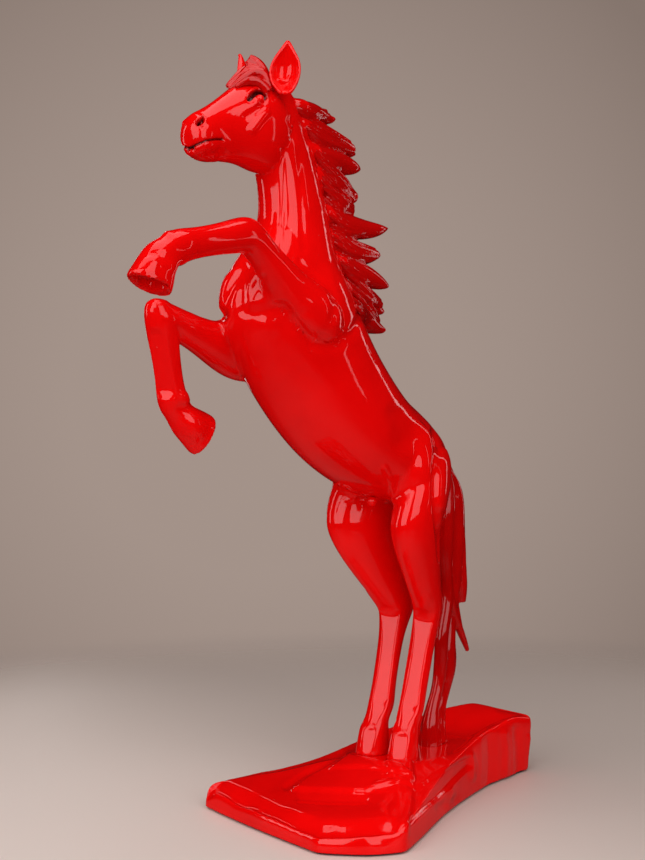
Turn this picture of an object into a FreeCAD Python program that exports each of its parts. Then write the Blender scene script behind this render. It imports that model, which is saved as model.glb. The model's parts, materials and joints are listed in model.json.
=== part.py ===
# Rearing horse ornament on a rock base: hollow lacquered castings on a bent steel armature.
# Millimetres. +Z is up, the horse faces -Y, its left side is +X. The origin is the centre of the
# underside, on the face that rests on the table.
import FreeCAD, Part
import math
import os

from FreeCAD import Placement, Rotation, Vector

# Driving dimensions
# Each row is alias, value and what it measures. Lengths are in millimetres, angles in degrees.
DIMENSIONS = [
    # castings in general
    ("shell_wall", 4.0, "wall of the hollow body and head castings"),
    ("glue_gap", 0.3, "bond line between two castings"),
    ("overrun", 3.0, "how far a cutting tool runs past what it cuts"),
    ("drill_clearance", 0.3, "air around a screw or rod in its hole"),
    # rock base
    ("base_length", 461.0, "rock, front tip to back"),
    ("base_width", 298.0, "rock across its front corners"),
    ("base_front_rise", 28.0, "rock's edge above the felt at the front"),
    ("base_back_rise", 80.0, "rock's top above the felt at the back"),
    ("seat_rise", 56.0, "rock's top above the felt where the hooves stand"),
    ("seat_length", 186.0, "level part of the rock's top, front to back"),
    ("seat_width", 112.0, "level part of the rock's top, side to side"),
    ("corner_reach", 14.0, "how far a corner's rounding runs along the rock's edge"),
    ("base_wall", 7.0, "wall of the hollow rock"),
    ("felt_thickness", 2.0, "felt sheet under the base"),
    ("felt_inset", 4.0, "felt's edge inside the rock's edge"),
    ("board_thickness", 9.0, "plywood board that closes the base"),
    ("board_clearance", 1.5, "board's edge to the rock's inner wall"),
    # base fittings
    ("plate_length", 130.0, "anchor plate, front to back"),
    ("plate_width", 76.0, "anchor plate, side to side"),
    ("plate_thickness", 5.0, "anchor plate"),
    ("washer_diameter", 20.0, "anchor washer"),
    ("washer_thickness", 1.6, "anchor washer"),
    ("nut_across_flats", 13.0, "anchor nut"),
    ("nut_height", 6.5, "anchor nut"),
    ("thread_reach", 3.0, "rod end beyond its nut"),
    ("block_width", 18.0, "fixing block, side to side"),
    ("block_length", 22.0, "fixing block, front to back"),
    ("block_height", 9.0, "fixing block above the board"),
    ("screw_diameter", 4.0, "board screw's shank"),
    ("screw_head_diameter", 8.0, "board screw's head"),
    ("screw_head_height", 2.4, "board screw's head"),
    ("screw_length", 14.0, "board screw, without its head"),
    ("ballast_length", 60.0, "ballast block, front to back"),
    ("ballast_width", 44.0, "ballast block, side to side"),
    ("ballast_height", 20.0, "ballast block"),
    ("ballast_clearance", 7.23, "ballast block to the rear fixing block"),
    # body and neck
    ("trunk_reach", 235.0, "hip to shoulder, forward"),
    ("trunk_rise", 200.0, "hip to shoulder, upward"),
    ("trunk_width", 134.0, "barrel, side to side"),
    ("trunk_depth", 158.0, "barrel, back to belly"),
    ("neck_rise", 211.0, "shoulder to poll, upward"),
    ("neck_width", 66.0, "neck, side to side"),
    ("neck_depth", 104.0, "neck, throat to crest"),
    # head
    ("head_length", 140.0, "back of the skull to the lips"),
    ("head_width", 64.0, "across the cheeks"),
    ("head_depth", 106.0, "forehead to jaw"),
    ("skull_forward", 14.0, "back of the skull ahead of the shoulder"),
    ("eye_diameter", 17.0, "eyeball"),
    ("nostril_diameter", 9.0, "nostril's opening"),
    ("mouth_gap", 1.2, "slit between the lips"),
    ("mouth_depth", 2.5, "how deep the slit goes"),
    ("ear_length", 51.0, "ear, root to tip"),
    ("ear_width", 27.0, "ear across its opening"),
    ("ear_depth", 20.0, "ear, front to back"),
    ("ear_spread", 38.0, "ear tip from the middle plane"),
    # hair
    ("mane_width", 50.0, "mane at its root, side to side"),
    ("lock_depth", 42.0, "a broad lock of the mane, across its fall"),
    ("tuft_width", 15.0, "one lock of the forelock, side to side"),
    ("dock_setback", 76.0, "tail's root behind the hip"),
    ("dock_drop", 22.0, "tail's root below the hip"),
    ("tail_width", 36.0, "tail, side to side"),
    ("tail_depth", 36.0, "tail, front to back"),
    # hind legs
    ("hoof_height", 34.0, "hoof, sole to coronet"),
    ("hoof_length", 43.0, "hoof, toe to heel"),
    ("hoof_width", 38.0, "hoof, side to side"),
    ("pastern_length", 25.0, "coronet to fetlock"),
    ("hind_cannon_length", 130.0, "fetlock to hock"),
    ("gaskin_length", 117.0, "hock to stifle"),
    ("thigh_length", 104.0, "stifle to hip"),
    ("cannon_thickness", 31.0, "hind leg below the hock"),
    ("thigh_depth", 112.0, "thigh, front to back"),
    ("thigh_width", 60.0, "thigh, side to side"),
    ("hoof_forward", 20.0, "hind hooves ahead of the base's middle"),
    ("hoof_spread", 24.0, "hind hooves from the middle plane"),
    ("hip_spread", 44.0, "hips from the middle plane"),
    ("rump_setback", 14.0, "middle of the rump behind the hips"),
    ("rump_drop", 8.0, "middle of the rump below the hips"),
    # forelegs
    ("forearm_length", 124.0, "elbow to knee"),
    ("fore_cannon_length", 102.0, "knee to fetlock"),
    ("fore_pastern_length", 26.0, "fetlock to coronet"),
    ("fore_hoof_height", 33.0, "fore hoof, coronet to sole"),
    ("forearm_thickness", 42.0, "forearm at its middle"),
    ("fore_cannon_thickness", 30.0, "foreleg below the knee"),
    ("fore_spread", 50.0, "elbows from the middle plane"),
    ("left_foot_spread", 50.0, "left knee and foot from the middle plane"),
    ("right_knee_spread", 44.0, "right knee from the middle plane"),
    ("right_foot_spread", 66.0, "right fore hoof from the middle plane"),
    # armature
    ("rod_diameter", 8.0, "steel rods of the hind legs, tail and spine"),
    ("rod_bend", 22.0, "bend radius of the rods"),
    ("fore_rod_diameter", 6.0, "steel rods of the forelegs"),
    ("rod_spread", 30.0, "hind leg rods' upper ends from the middle plane"),
    ("fore_rod_bend", 12.0, "bend radius of the foreleg rods"),
    ("fore_rod_spread", 25.0, "foreleg rods' inner ends from the middle plane"),
    ("rod_run", 15.0, "straight run of a rod where it meets a bar"),
    ("bar_length", 84.0, "hip crossbar, side to side"),
    ("bar_depth", 14.0, "hip crossbar, front to back"),
    ("bar_height", 10.0, "hip crossbar"),
    ("bar_forward", 4.0, "hip crossbar ahead of the hips"),
    ("yoke_length", 66.0, "shoulder crossbar, side to side"),
    ("yoke_depth", 24.0, "shoulder crossbar, front to back"),
    ("yoke_height", 10.0, "shoulder crossbar"),
    ("former_thickness", 9.0, "plywood formers"),
]

LEFT = Vector(1, 0, 0)
FIGURE = {}


def make_sheet(doc):
    """The driving dimensions as a spreadsheet with one alias per cell."""
    sheet = doc.addObject("Spreadsheet::Sheet", "sizes")
    for row, (alias, value, meaning) in enumerate(DIMENSIONS, start=1):
        sheet.set(f"A{row}", alias)
        sheet.set(f"B{row}", str(value))
        sheet.set(f"C{row}", meaning)
        sheet.setAlias(f"B{row}", alias)
    doc.recompute()
    return sheet


class Sizes:
    """Reads a driving dimension from the sheet by its alias."""

    def __init__(self, sheet):
        self._sheet = sheet

    def __getattr__(self, alias):
        return float(self._sheet.get(alias))


# Points, sections and skins
def at(x, forward, up):
    """A point given to the horse's left, forward and upward."""
    return Vector(x, -forward, up)


def between(start, end, share):
    return start + (end - start) * share


def mirrored(shape):
    """The same shape on the other side of the middle plane."""
    return shape.mirror(Vector(0, 0, 0), LEFT)


RING_POLES = 16
THINNEST_SHARE = 0.05
RING_GAIN = 6 / (4 + 2 * math.cos(2 * math.pi / RING_POLES))


def ring(centre, along, side, half_width, half_up, half_down, egg=0.0):
    """Control points of a closed section square to `along`; `side` points to its left.
    The upper half swells and the lower half shrinks by the share `egg`."""
    across = (side - along * side.dot(along)).normalize()
    upward = along.cross(across)
    poles = []
    for step in range(RING_POLES):
        turn = 2 * math.pi * step / RING_POLES
        rise = math.sin(turn)
        reach = half_up if rise > 0 else half_down
        wide = half_width * math.cos(turn) * (1 + egg * rise)
        poles.append(centre + across * (RING_GAIN * wide) + upward * (RING_GAIN * reach * rise))
    return poles


PATCH_POLES = 9


def net_solid(rings):
    """A closed solid whose smooth side follows rings of control points, with flat ends.
    A side with more poles than a plain section is made of several patches."""
    around = len(rings[0])
    spans = len(rings) - 3
    surface = Part.BSplineSurface()
    surface.buildFromPolesMultsKnots(
        [[rings[j][i] for j in range(len(rings))] for i in range(around)],
        [1] * (around + 1),
        [4] + [1] * (spans - 1) + [4],
        [float(k) for k in range(around + 1)],
        [float(k) for k in range(spans + 1)],
        True,
        False,
        3,
        3,
    )
    stops = [*range(0, around, around if around <= RING_POLES else PATCH_POLES), around]
    patches = []
    for start, stop in zip(stops, stops[1:]):
        patch = surface.copy()
        patch.segment(start, stop, 0, spans)
        patches.append(patch)
    faces = [patch.toShape() for patch in patches]
    for level in (0, spans):
        faces.append(Part.Face(Part.Wire([patch.vIso(level).toShape() for patch in patches])))
    shell = Part.makeShell(faces)
    shell.sewShape()
    solid = Part.makeSolid(shell)
    if solid.Volume < 0:
        solid.reverse()
    return solid


def directions(points):
    """The direction of a chain of points at each of them, halfway between its neighbours'."""
    runs = [(b - a).normalize() for a, b in zip(points, points[1:])]
    return [runs[0]] + [(a + b).normalize() for a, b in zip(runs, runs[1:])] + [runs[-1]]


def skin(stations, grow=0.0, side=LEFT, along=None):
    """A smooth solid through stations of (centre, half_width, half_up, half_down, egg).
    `grow` thickens it and `along` fixes the sections' direction."""
    centres = [station[0] for station in stations]
    ways = [Vector(along) for _ in centres] if along else directions(centres)
    rings = []
    for way, (centre, *sizes, egg) in zip(ways, stations):
        grown = [max(size + grow, THINNEST_SHARE * size) for size in sizes]
        rings.append(ring(centre, way, side, *grown, egg))
    return net_solid(rings)


def largest(shape):
    """The biggest solid of a cut, without slivers."""
    return max(shape.Solids, key=lambda solid: solid.Volume)


def bent_rod(points, diameter, bend):
    """A round rod along straight runs with an arc at every turn."""
    edges = []
    start = points[0]
    for before, corner, after in zip(points, points[1:], points[2:]):
        arrive = (corner - before).normalize()
        leave = (after - corner).normalize()
        turn = arrive.getAngle(leave)
        cut_back = bend * math.tan(turn / 2)
        first = corner - arrive * cut_back
        last = corner + leave * cut_back
        inward = (leave - arrive).normalize()
        middle = corner + inward * (bend / math.cos(turn / 2) - bend)
        edges.append(Part.makeLine(start, first))
        edges.append(Part.Arc(first, middle, last).toShape())
        start = last
    edges.append(Part.makeLine(start, points[-1]))
    spine = Part.Wire(edges)
    circle = Part.makeCircle(diameter / 2, points[0], points[1] - points[0])
    return spine.makePipeShell([Part.Wire([circle])], True, True)


# Skeleton
# How far each bone leans forward from upright as it rises, in degrees
PASTERN_LEAN = -28.0
HIND_CANNON_LEAN = -15.0
GASKIN_LEAN = 26.5
THIGH_LEAN = -24.0
HIND_TURN = 18.0
CORONET_BACK_SHARE = 0.12
HOCK_SPREAD_SHARE = 1.1
LEFT_LEANS = {"forearm": 51.5, "cannon": 102.5, "pastern": 121.0, "hoof": 158.0}
RIGHT_LEANS = {"forearm": 73.0, "cannon": 201.0, "pastern": 222.0, "hoof": 243.0}


def bone(start, length, lean, x):
    """The end of a bone that leaves `start` and leans forward, with its end at x."""
    turn = math.radians(lean)
    flat = math.sqrt(length**2 - (x - start.x) ** 2)
    end = start + at(0, flat * math.sin(turn), flat * math.cos(turn))
    return Vector(x, end.y, end.z)


def set_skeleton(s):
    """Joint points of the horse, worked out upward from the hooves."""
    seat = s.felt_thickness + s.seat_rise
    sole = at(s.hoof_spread, s.hoof_forward, seat)
    coronet = sole + at(0, -CORONET_BACK_SHARE * s.hoof_height, s.hoof_height)
    fetlock = bone(coronet, s.pastern_length, PASTERN_LEAN, s.hoof_spread)
    hock = bone(fetlock, s.hind_cannon_length, HIND_CANNON_LEAN, HOCK_SPREAD_SHARE * s.hoof_spread)
    stifle = bone(hock, s.gaskin_length, GASKIN_LEAN, s.hip_spread)
    hip_joint = bone(stifle, s.thigh_length, THIGH_LEAN, s.hip_spread)
    hip = Vector(0, hip_joint.y + s.rump_setback, hip_joint.z - s.rump_drop)
    shoulder = hip + at(0, s.trunk_reach, s.trunk_rise)
    FIGURE.update(seat=seat, sole=sole, coronet=coronet, fetlock=fetlock, hock=hock, stifle=stifle)
    FIGURE.update(hip_joint=hip_joint, hip=hip, shoulder=shoulder)
    FIGURE["skull"] = shoulder + at(0, s.skull_forward, s.neck_rise)
    FIGURE["dock"] = hip + at(0, -s.dock_setback, -s.dock_drop)


def along_trunk(s, forward_share, up_share, x=0.0):
    return FIGURE["hip"] + at(x, forward_share * s.trunk_reach, up_share * s.trunk_rise)


def along_neck(s, forward_share, up_share, x=0.0):
    return FIGURE["shoulder"] + at(x, forward_share * s.neck_rise, up_share * s.neck_rise)


def along_head(s, forward_share, drop_share, x=0.0):
    return FIGURE["skull"] + at(x, forward_share * s.head_length, -drop_share * s.head_length)


# Body and neck
# Trunk: forward share of its reach, up share of its rise, then shares of its width and depth:
# half width, half up, half down and the egg
TRUNK_SHARES = [
    (-0.205, -0.020, 0.06, 0.05, 0.06, 0.0),
    (-0.190, -0.018, 0.12, 0.11, 0.15, 0.0),
    (-0.140, -0.012, 0.21, 0.18, 0.26, -0.10),
    (-0.062, 0.000, 0.31, 0.26, 0.35, -0.18),
    (0.038, 0.020, 0.38, 0.32, 0.385, -0.26),
    (0.142, 0.045, 0.43, 0.370, 0.410, -0.28),
    (0.320, 0.100, 0.48, 0.415, 0.45, -0.24),
    (0.560, 0.260, 0.52, 0.475, 0.49, -0.14),
    (0.760, 0.460, 0.52, 0.51, 0.50, -0.08),
    (0.915, 0.730, 0.50, 0.53, 0.575, -0.08),
    (1.000, 1.000, 0.45, 0.48, 0.67, -0.08),
]
# Neck: forward and up shares of its rise, then shares of its width and depth as above
NECK_SHARES = [
    (-0.047, 0.246, 0.58, 0.52, 0.46, -0.10),
    (-0.024, 0.460, 0.48, 0.46, 0.36, -0.08),
    (0.043, 0.645, 0.44, 0.43, 0.32, -0.05),
    (0.104, 0.820, 0.40, 0.40, 0.33, 0.0),
    (0.156, 1.000, 0.34, 0.30, 0.30, 0.0),
]


def trunk_stations(s):
    stations = []
    for forward, up, wide, high, low, egg in TRUNK_SHARES:
        sizes = (wide * s.trunk_width, high * s.trunk_depth, low * s.trunk_depth, egg)
        stations.append((along_trunk(s, forward, up), *sizes))
    for forward, up, wide, high, low, egg in NECK_SHARES:
        sizes = (wide * s.neck_width, high * s.neck_depth, low * s.neck_depth, egg)
        stations.append((along_neck(s, forward, up), *sizes))
    return stations


# Head
# Forward and drop shares of its length from the skull's back, then shares of its width and depth:
# half width, half up, half down and the egg
HEAD_SHARES = [
    (0.000, 0.215, 0.20, 0.12, 0.12, 0.0),
    (0.030, 0.220, 0.40, 0.32, 0.34, 0.0),
    (0.150, 0.245, 0.51, 0.49, 0.50, 0.0),
    (0.340, 0.280, 0.51, 0.485, 0.49, 0.0),
    (0.500, 0.330, 0.42, 0.39, 0.37, 0.05),
    (0.660, 0.380, 0.31, 0.31, 0.295, 0.08),
    (0.800, 0.430, 0.29, 0.265, 0.265, 0.05),
    (0.905, 0.460, 0.32, 0.245, 0.245, 0.0),
    (0.975, 0.480, 0.27, 0.18, 0.18, 0.0),
    (1.000, 0.485, 0.13, 0.07, 0.07, 0.0),
]


def head_stations(s):
    stations = []
    for forward, drop, wide, high, low, egg in HEAD_SHARES:
        sizes = (wide * s.head_width, high * s.head_depth, low * s.head_depth, egg)
        stations.append((along_head(s, forward, drop), *sizes))
    return stations


# Eye and nostril: forward and drop shares of the head's length, then the side share of its width
EYE_SHARES = (0.445, 0.13, 0.335)
NOSTRIL_SHARES = (0.95, 0.385, 0.27)
# Mouth: its corner and a point past the lips, as forward and drop shares of the head's length
MOUTH_SHARES = ((0.76, 0.475), (1.08, 0.61))


def beside_head(s, forward_share, drop_share, side_share):
    return along_head(s, forward_share, drop_share, side_share * s.head_width)


def head_casting(s):
    """The head with its eyes, nostrils, lips and a hollow, before the neck is cut out of it."""
    stations = head_stations(s)
    head = skin(stations)
    eye = Part.makeSphere(s.eye_diameter / 2, beside_head(s, *EYE_SHARES), LEFT)
    nostril = Part.makeSphere(s.nostril_diameter / 2, beside_head(s, *NOSTRIL_SHARES), LEFT)
    corner, lips = (along_head(s, *shares) for shares in MOUTH_SHARES)
    reach = lips.distanceToPoint(corner)
    slit = Part.makeBox(s.head_width, reach, s.mouth_gap)
    slit.translate(Vector(-s.head_width / 2, -reach, -s.mouth_gap / 2))
    fall = math.degrees(math.atan2(corner.z - lips.z, corner.y - lips.y))
    slit.Placement = Placement(corner, Rotation(LEFT, fall)).multiply(slit.Placement)
    slit = slit.cut(skin(head_stations(s), grow=-s.mouth_depth))
    head = head.fuse([eye, mirrored(eye)])
    hollow = skin(head_stations(s)[1:-2], grow=-s.shell_wall - s.mouth_depth)
    return largest(head.cut([nostril, mirrored(nostril), slit, hollow]))


# Ear: rise, forward and out shares of its length, length and spread, then half width, half front and
# half back shares of its width and depth
EAR_SHARES = [
    (0.00, -0.02, 0.55, 0.36, 0.36, 0.36),
    (0.18, 0.00, 0.62, 0.46, 0.46, 0.46),
    (0.40, 0.03, 0.72, 0.52, 0.46, 0.46),
    (0.65, 0.08, 0.84, 0.42, 0.34, 0.34),
    (0.88, 0.12, 0.95, 0.19, 0.18, 0.18),
    (1.00, 0.13, 1.00, 0.03, 0.04, 0.04),
]
EAR_TURN = 42.0
# Ear's root on the head as forward and drop shares of its length
EAR_ROOT_SHARES = (0.155, -0.03)
# Scoop: how far it lies ahead of the ear's middle, its width and its back, as shares of the ear's
SCOOP_SHARES = (0.36, 0.72, 0.62)


def ear(s):
    """The left ear: a leaf with a scooped front."""
    root = along_head(s, *EAR_ROOT_SHARES)
    facing = math.radians(EAR_TURN)
    side = Vector(math.cos(facing), math.sin(facing), 0)
    front = side.cross(Vector(0, 0, 1))
    ahead, narrower, thinner = SCOOP_SHARES
    leaf = []
    scoop = []
    for up, forward, out, wide, fore, back in EAR_SHARES:
        centre = root + at(out * s.ear_spread, forward * s.ear_length, up * s.ear_length)
        width, front_depth, back_depth = wide * s.ear_width, fore * s.ear_depth, back * s.ear_depth
        leaf.append((centre, width, front_depth, back_depth, 0))
        inner = centre + front * (ahead * s.ear_depth)
        scoop.append((inner, narrower * width, front_depth, thinner * back_depth, 0))
    return skin(leaf, side=side).cut(skin(scoop[1:-1], side=side))


# Hair
# Forelock: shares of the head's length for the root, the middle and the tip as forward, drop and
# side, then the lock's thickness as a share of the tuft's width
FORELOCK_SHARES = [
    ((0.10, 0.06, 0.00), (0.18, -0.16, 0.00), (0.335, -0.27, 0.00), 1.3),
    ((0.12, 0.06, 0.04), (0.40, -0.10, 0.05), (0.61, 0.05, 0.06), 1.1),
    ((0.12, 0.08, -0.05), (0.35, -0.12, -0.07), (0.50, -0.02, -0.10), 1.1),
    ((0.10, 0.06, 0.10), (0.33, -0.08, 0.12), (0.50, 0.05, 0.14), 0.9),
]
# Mane: shares of the neck's rise for the root, the middle and the tip as forward and up, then the
# tip's side as a share of the mane's width, the lock's depth and its fullness at the tip
MANE_SHARES = [
    ((0.024, 0.965), (-0.180, 0.975), (-0.335, 0.955), 0.05, 0.58, 1.10),
    ((-0.010, 0.867), (-0.308, 0.834), (-0.590, 0.810), -0.10, 0.95, 0.30),
    ((-0.057, 0.749), (-0.403, 0.711), (-0.570, 0.711), 0.14, 0.72, 0.25),
    ((-0.095, 0.616), (-0.427, 0.559), (-0.575, 0.559), -0.06, 1.10, 0.80),
    ((-0.133, 0.445), (-0.545, 0.318), (-0.839, 0.408), 0.08, 0.72, 0.25),
    ((-0.175, 0.313), (-0.592, 0.190), (-0.790, 0.250), -0.10, 0.80, 0.75),
    ((-0.237, 0.181), (-0.650, 0.100), (-0.815, 0.060), 0.12, 0.72, 0.60),
    ((-0.308, 0.038), (-0.650, -0.040), (-0.820, -0.088), -0.05, 0.78, 0.60),
    ((-0.389, -0.095), (-0.650, -0.170), (-0.780, -0.200), 0.08, 0.66, 0.90),
]
# Lock: how far along it, then half width and half depth shares
LOCK_PROFILE = [
    (0.00, 0.90, 0.80),
    (0.14, 1.00, 0.95),
    (0.32, 0.92, 1.02),
    (0.52, 0.74, 1.00),
    (0.72, 0.54, 0.80),
    (0.90, 0.36, 0.52),
]
LOCK_END_SHARE = 0.4
FORELOCK_END_SHARE = 0.3


def lock(root, middle, tip, half_width, half_depth, end_share):
    """A lock of hair that leaves `root`, bends by `middle` and thins to `tip`."""
    stations = []
    for share, wide, deep in LOCK_PROFILE + [(1.0, end_share * LOCK_END_SHARE, end_share * LOCK_END_SHARE)]:
        centre = between(between(root, middle, share), between(middle, tip, share), share)
        stations.append((centre, wide * half_width, deep * half_depth, deep * half_depth, 0))
    return skin(stations)


def mane_casting(s):
    locks = []
    for root, middle, tip, side, deep, end in MANE_SHARES:
        x = side * s.mane_width
        points = (along_neck(s, *root), along_neck(s, *middle, x), along_neck(s, *tip, x))
        locks.append(lock(*points, s.mane_width / 2, deep * s.lock_depth / 2, end))
    return locks[0].fuse(locks[1:])


def forelock_casting(s):
    locks = []
    for root, middle, tip, full in FORELOCK_SHARES:
        points = [along_head(s, p[0], p[1], p[2] * s.head_length) for p in (root, middle, tip)]
        thick = full * s.tuft_width / 2
        locks.append(lock(*points, thick, thick, FORELOCK_END_SHARE))
    return locks[0].fuse(locks[1:])


# Tail: forward and down shares of its fall from the dock to the rock, then shares of its width and
# depth: half width, half front, half back
TAIL_SHARES = [
    (0.110, -0.040, 0.28, 0.26, 0.26),
    (0.060, -0.020, 0.30, 0.28, 0.26),
    (0.014, 0.026, 0.36, 0.36, 0.30),
    (-0.024, 0.099, 0.46, 0.47, 0.45),
    (-0.028, 0.227, 0.48, 0.50, 0.50),
    (-0.020, 0.355, 0.42, 0.44, 0.44),
    (-0.006, 0.483, 0.36, 0.36, 0.36),
    (0.011, 0.577, 0.35, 0.35, 0.35),
    (0.023, 0.682, 0.44, 0.42, 0.42),
    (0.031, 0.761, 0.44, 0.42, 0.42),
    (0.054, 0.818, 0.34, 0.34, 0.34),
    (0.074, 0.872, 0.34, 0.34, 0.34),
    (0.091, 0.920, 0.40, 0.40, 0.40),
    (0.099, 0.966, 0.54, 0.54, 0.54),
    (0.102, 1.060, 0.66, 0.66, 0.66),
]
# Loose locks of the tail: root, middle and tip as forward and down shares of the tail's fall, then
# the side share of its width and the lock's thickness
TAIL_LOCK_SHARES = [
    ((-0.006, 0.085), (-0.064, 0.300), (-0.066, 0.500), 0.20, 0.56, 0.9),
    ((-0.006, 0.380), (-0.020, 0.520), (-0.125, 0.702), 0.00, 0.50, 0.5),
]


def tail_point(s, forward, down, x=0.0):
    dock = FIGURE["dock"]
    fall = dock.z - FIGURE["seat"]
    return dock + at(x, forward * fall, -down * fall)


def tail_casting(s):
    stations = [
        (tail_point(s, forward, down), wide * s.tail_width, fore * s.tail_depth, back * s.tail_depth, 0)
        for forward, down, wide, fore, back in TAIL_SHARES
    ]
    stem = skin(stations)
    locks = []
    for root, middle, tip, side, full, end in TAIL_LOCK_SHARES:
        points = [tail_point(s, *point, side * s.tail_width) for point in (root, middle, tip)]
        locks.append(lock(*points, full * s.tail_width / 2, full * s.tail_depth / 2, end))
    return stem.fuse(locks)


# Legs
# Hoof and pastern of a hind leg: share from the sole to the fetlock in height, then shares of the
# hoof's width and length: half width, half front and half back
HOOF_SHARES = [
    (0.00, 0.50, 0.52, 0.48),
    (0.10, 0.50, 0.52, 0.47),
    (0.50, 0.475, 0.48, 0.44),
    (0.90, 0.45, 0.45, 0.42),
]
# Hind leg: the bone, the share along it, then shares of the cannon's thickness
SHIN_SHARES = [
    ("pastern", 0.05, 0.52, 0.55, 0.53),
    ("pastern", 0.45, 0.48, 0.46, 0.48),
    ("pastern", 1.00, 0.53, 0.52, 0.58),
    ("cannon", 0.18, 0.50, 0.46, 0.47),
    ("cannon", 0.45, 0.50, 0.46, 0.47),
    ("cannon", 0.70, 0.50, 0.49, 0.53),
    ("cannon", 0.88, 0.52, 0.62, 0.76),
    ("cannon", 1.00, 0.55, 0.76, 0.92),
]
# Hind leg above the hock: shares of the thigh's width and depth
THIGH_SHARES = [
    ("gaskin", 0.20, 0.30, 0.29, 0.27),
    ("gaskin", 0.42, 0.32, 0.36, 0.33),
    ("gaskin", 0.66, 0.38, 0.42, 0.39),
    ("gaskin", 1.00, 0.46, 0.44, 0.43),
    ("thigh", 0.30, 0.50, 0.46, 0.46),
    ("thigh", 0.62, 0.49, 0.47, 0.38),
    ("thigh", 0.90, 0.38, 0.43, 0.22),
    ("thigh", 1.05, 0.20, 0.24, 0.16),
]


def hind_leg_stations(s):
    bones = {
        "pastern": (FIGURE["coronet"], FIGURE["fetlock"]),
        "cannon": (FIGURE["fetlock"], FIGURE["hock"]),
        "gaskin": (FIGURE["hock"], FIGURE["stifle"]),
        "thigh": (FIGURE["stifle"], FIGURE["hip_joint"]),
    }
    stations = []
    for share, wide, fore, back in HOOF_SHARES:
        centre = between(FIGURE["sole"], FIGURE["coronet"], share)
        stations.append((centre, wide * s.hoof_width, back * s.hoof_length, fore * s.hoof_length, 0))
    for name, share, wide, fore, back in SHIN_SHARES:
        centre = between(*bones[name], share)
        size = s.cannon_thickness
        stations.append((centre, wide * size, back * size, fore * size, 0))
    for name, share, wide, fore, back in THIGH_SHARES:
        centre = between(*bones[name], share)
        stations.append((centre, wide * s.thigh_width, back * s.thigh_depth, fore * s.thigh_depth, 0))
    return stations


def hind_leg(s):
    turn = math.radians(HIND_TURN)
    return skin(hind_leg_stations(s), along=Vector(0, 0, 1), side=Vector(math.cos(turn), math.sin(turn), 0))


# Foreleg: the share along the bone, then half width, half front and half back shares of the
# forearm's thickness or, from the knee down, of the cannon's; the hoof takes shares of its own sizes
ARM_SHARES = [
    (-0.34, 0.34, 0.40, 0.40),
    (-0.26, 0.50, 0.58, 0.58),
    (-0.08, 0.58, 0.68, 0.72),
    (0.15, 0.56, 0.64, 0.70),
    (0.38, 0.48, 0.54, 0.56),
    (0.60, 0.42, 0.44, 0.46),
    (0.80, 0.38, 0.39, 0.42),
]
FORE_CANNON_SHARES = [
    (0.00, 0.60, 0.62, 0.62),
    (0.20, 0.56, 0.62, 0.58),
    (0.40, 0.50, 0.54, 0.52),
    (0.75, 0.48, 0.50, 0.50),
    (0.93, 0.54, 0.56, 0.58),
]
# How much a folded knee swells in front, in shares of the cannon's thickness
KNEECAP_SHARE = 0.75
FORE_FOOT_SHARES = [
    ("pastern", 0.15, 0.42, 0.40, 0.42),
    ("pastern", 0.60, 0.39, 0.37, 0.36),
    ("hoof", 0.00, 0.45, 0.46, 0.42),
    ("hoof", 0.45, 0.49, 0.54, 0.46),
    ("hoof", 0.90, 0.53, 0.66, 0.50),
    ("hoof", 1.00, 0.52, 0.65, 0.49),
]
# How far from the fetlock a foreleg's rod stops, and where it bends in the forearm
FORE_ROD_BEND_SHARE = 0.30
FORE_ROD_END_SHARE = 0.85
# Elbows as forward and up shares of the trunk
LEFT_ELBOW_SHARES = (1.068, 0.82)
RIGHT_ELBOW_SHARES = (1.148, 0.615)


def foreleg_points(s, elbow, knee_x, foot_x, leans):
    knee = bone(elbow, s.forearm_length, leans["forearm"], knee_x)
    fetlock = bone(knee, s.fore_cannon_length, leans["cannon"], foot_x)
    coronet = bone(fetlock, s.fore_pastern_length, leans["pastern"], foot_x)
    sole = bone(coronet, s.fore_hoof_height, leans["hoof"], foot_x)
    return {"elbow": elbow, "knee": knee, "fetlock": fetlock, "coronet": coronet, "sole": sole}


def foreleg(s, joints):
    elbow, knee, fetlock = joints["elbow"], joints["knee"], joints["fetlock"]
    stations = []
    for share, wide, front, back in ARM_SHARES:
        size = s.forearm_thickness
        stations.append((between(elbow, knee, share), wide * size, front * size, back * size, 0))
    fold = (1 - math.cos((knee - elbow).getAngle(fetlock - knee))) / 2
    for share, wide, front, back in FORE_CANNON_SHARES:
        size = s.fore_cannon_thickness
        cap = front + (KNEECAP_SHARE * fold if share == 0 else 0)
        stations.append((between(knee, fetlock, share), wide * size, cap * size, back * size, 0))
    runs = {"pastern": (fetlock, joints["coronet"]), "hoof": (joints["coronet"], joints["sole"])}
    for name, share, wide, front, back in FORE_FOOT_SHARES:
        sizes = (wide * s.hoof_width, front * s.hoof_length, back * s.hoof_length, 0)
        stations.append((between(*runs[name], share), *sizes))
    return skin(stations)


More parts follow.
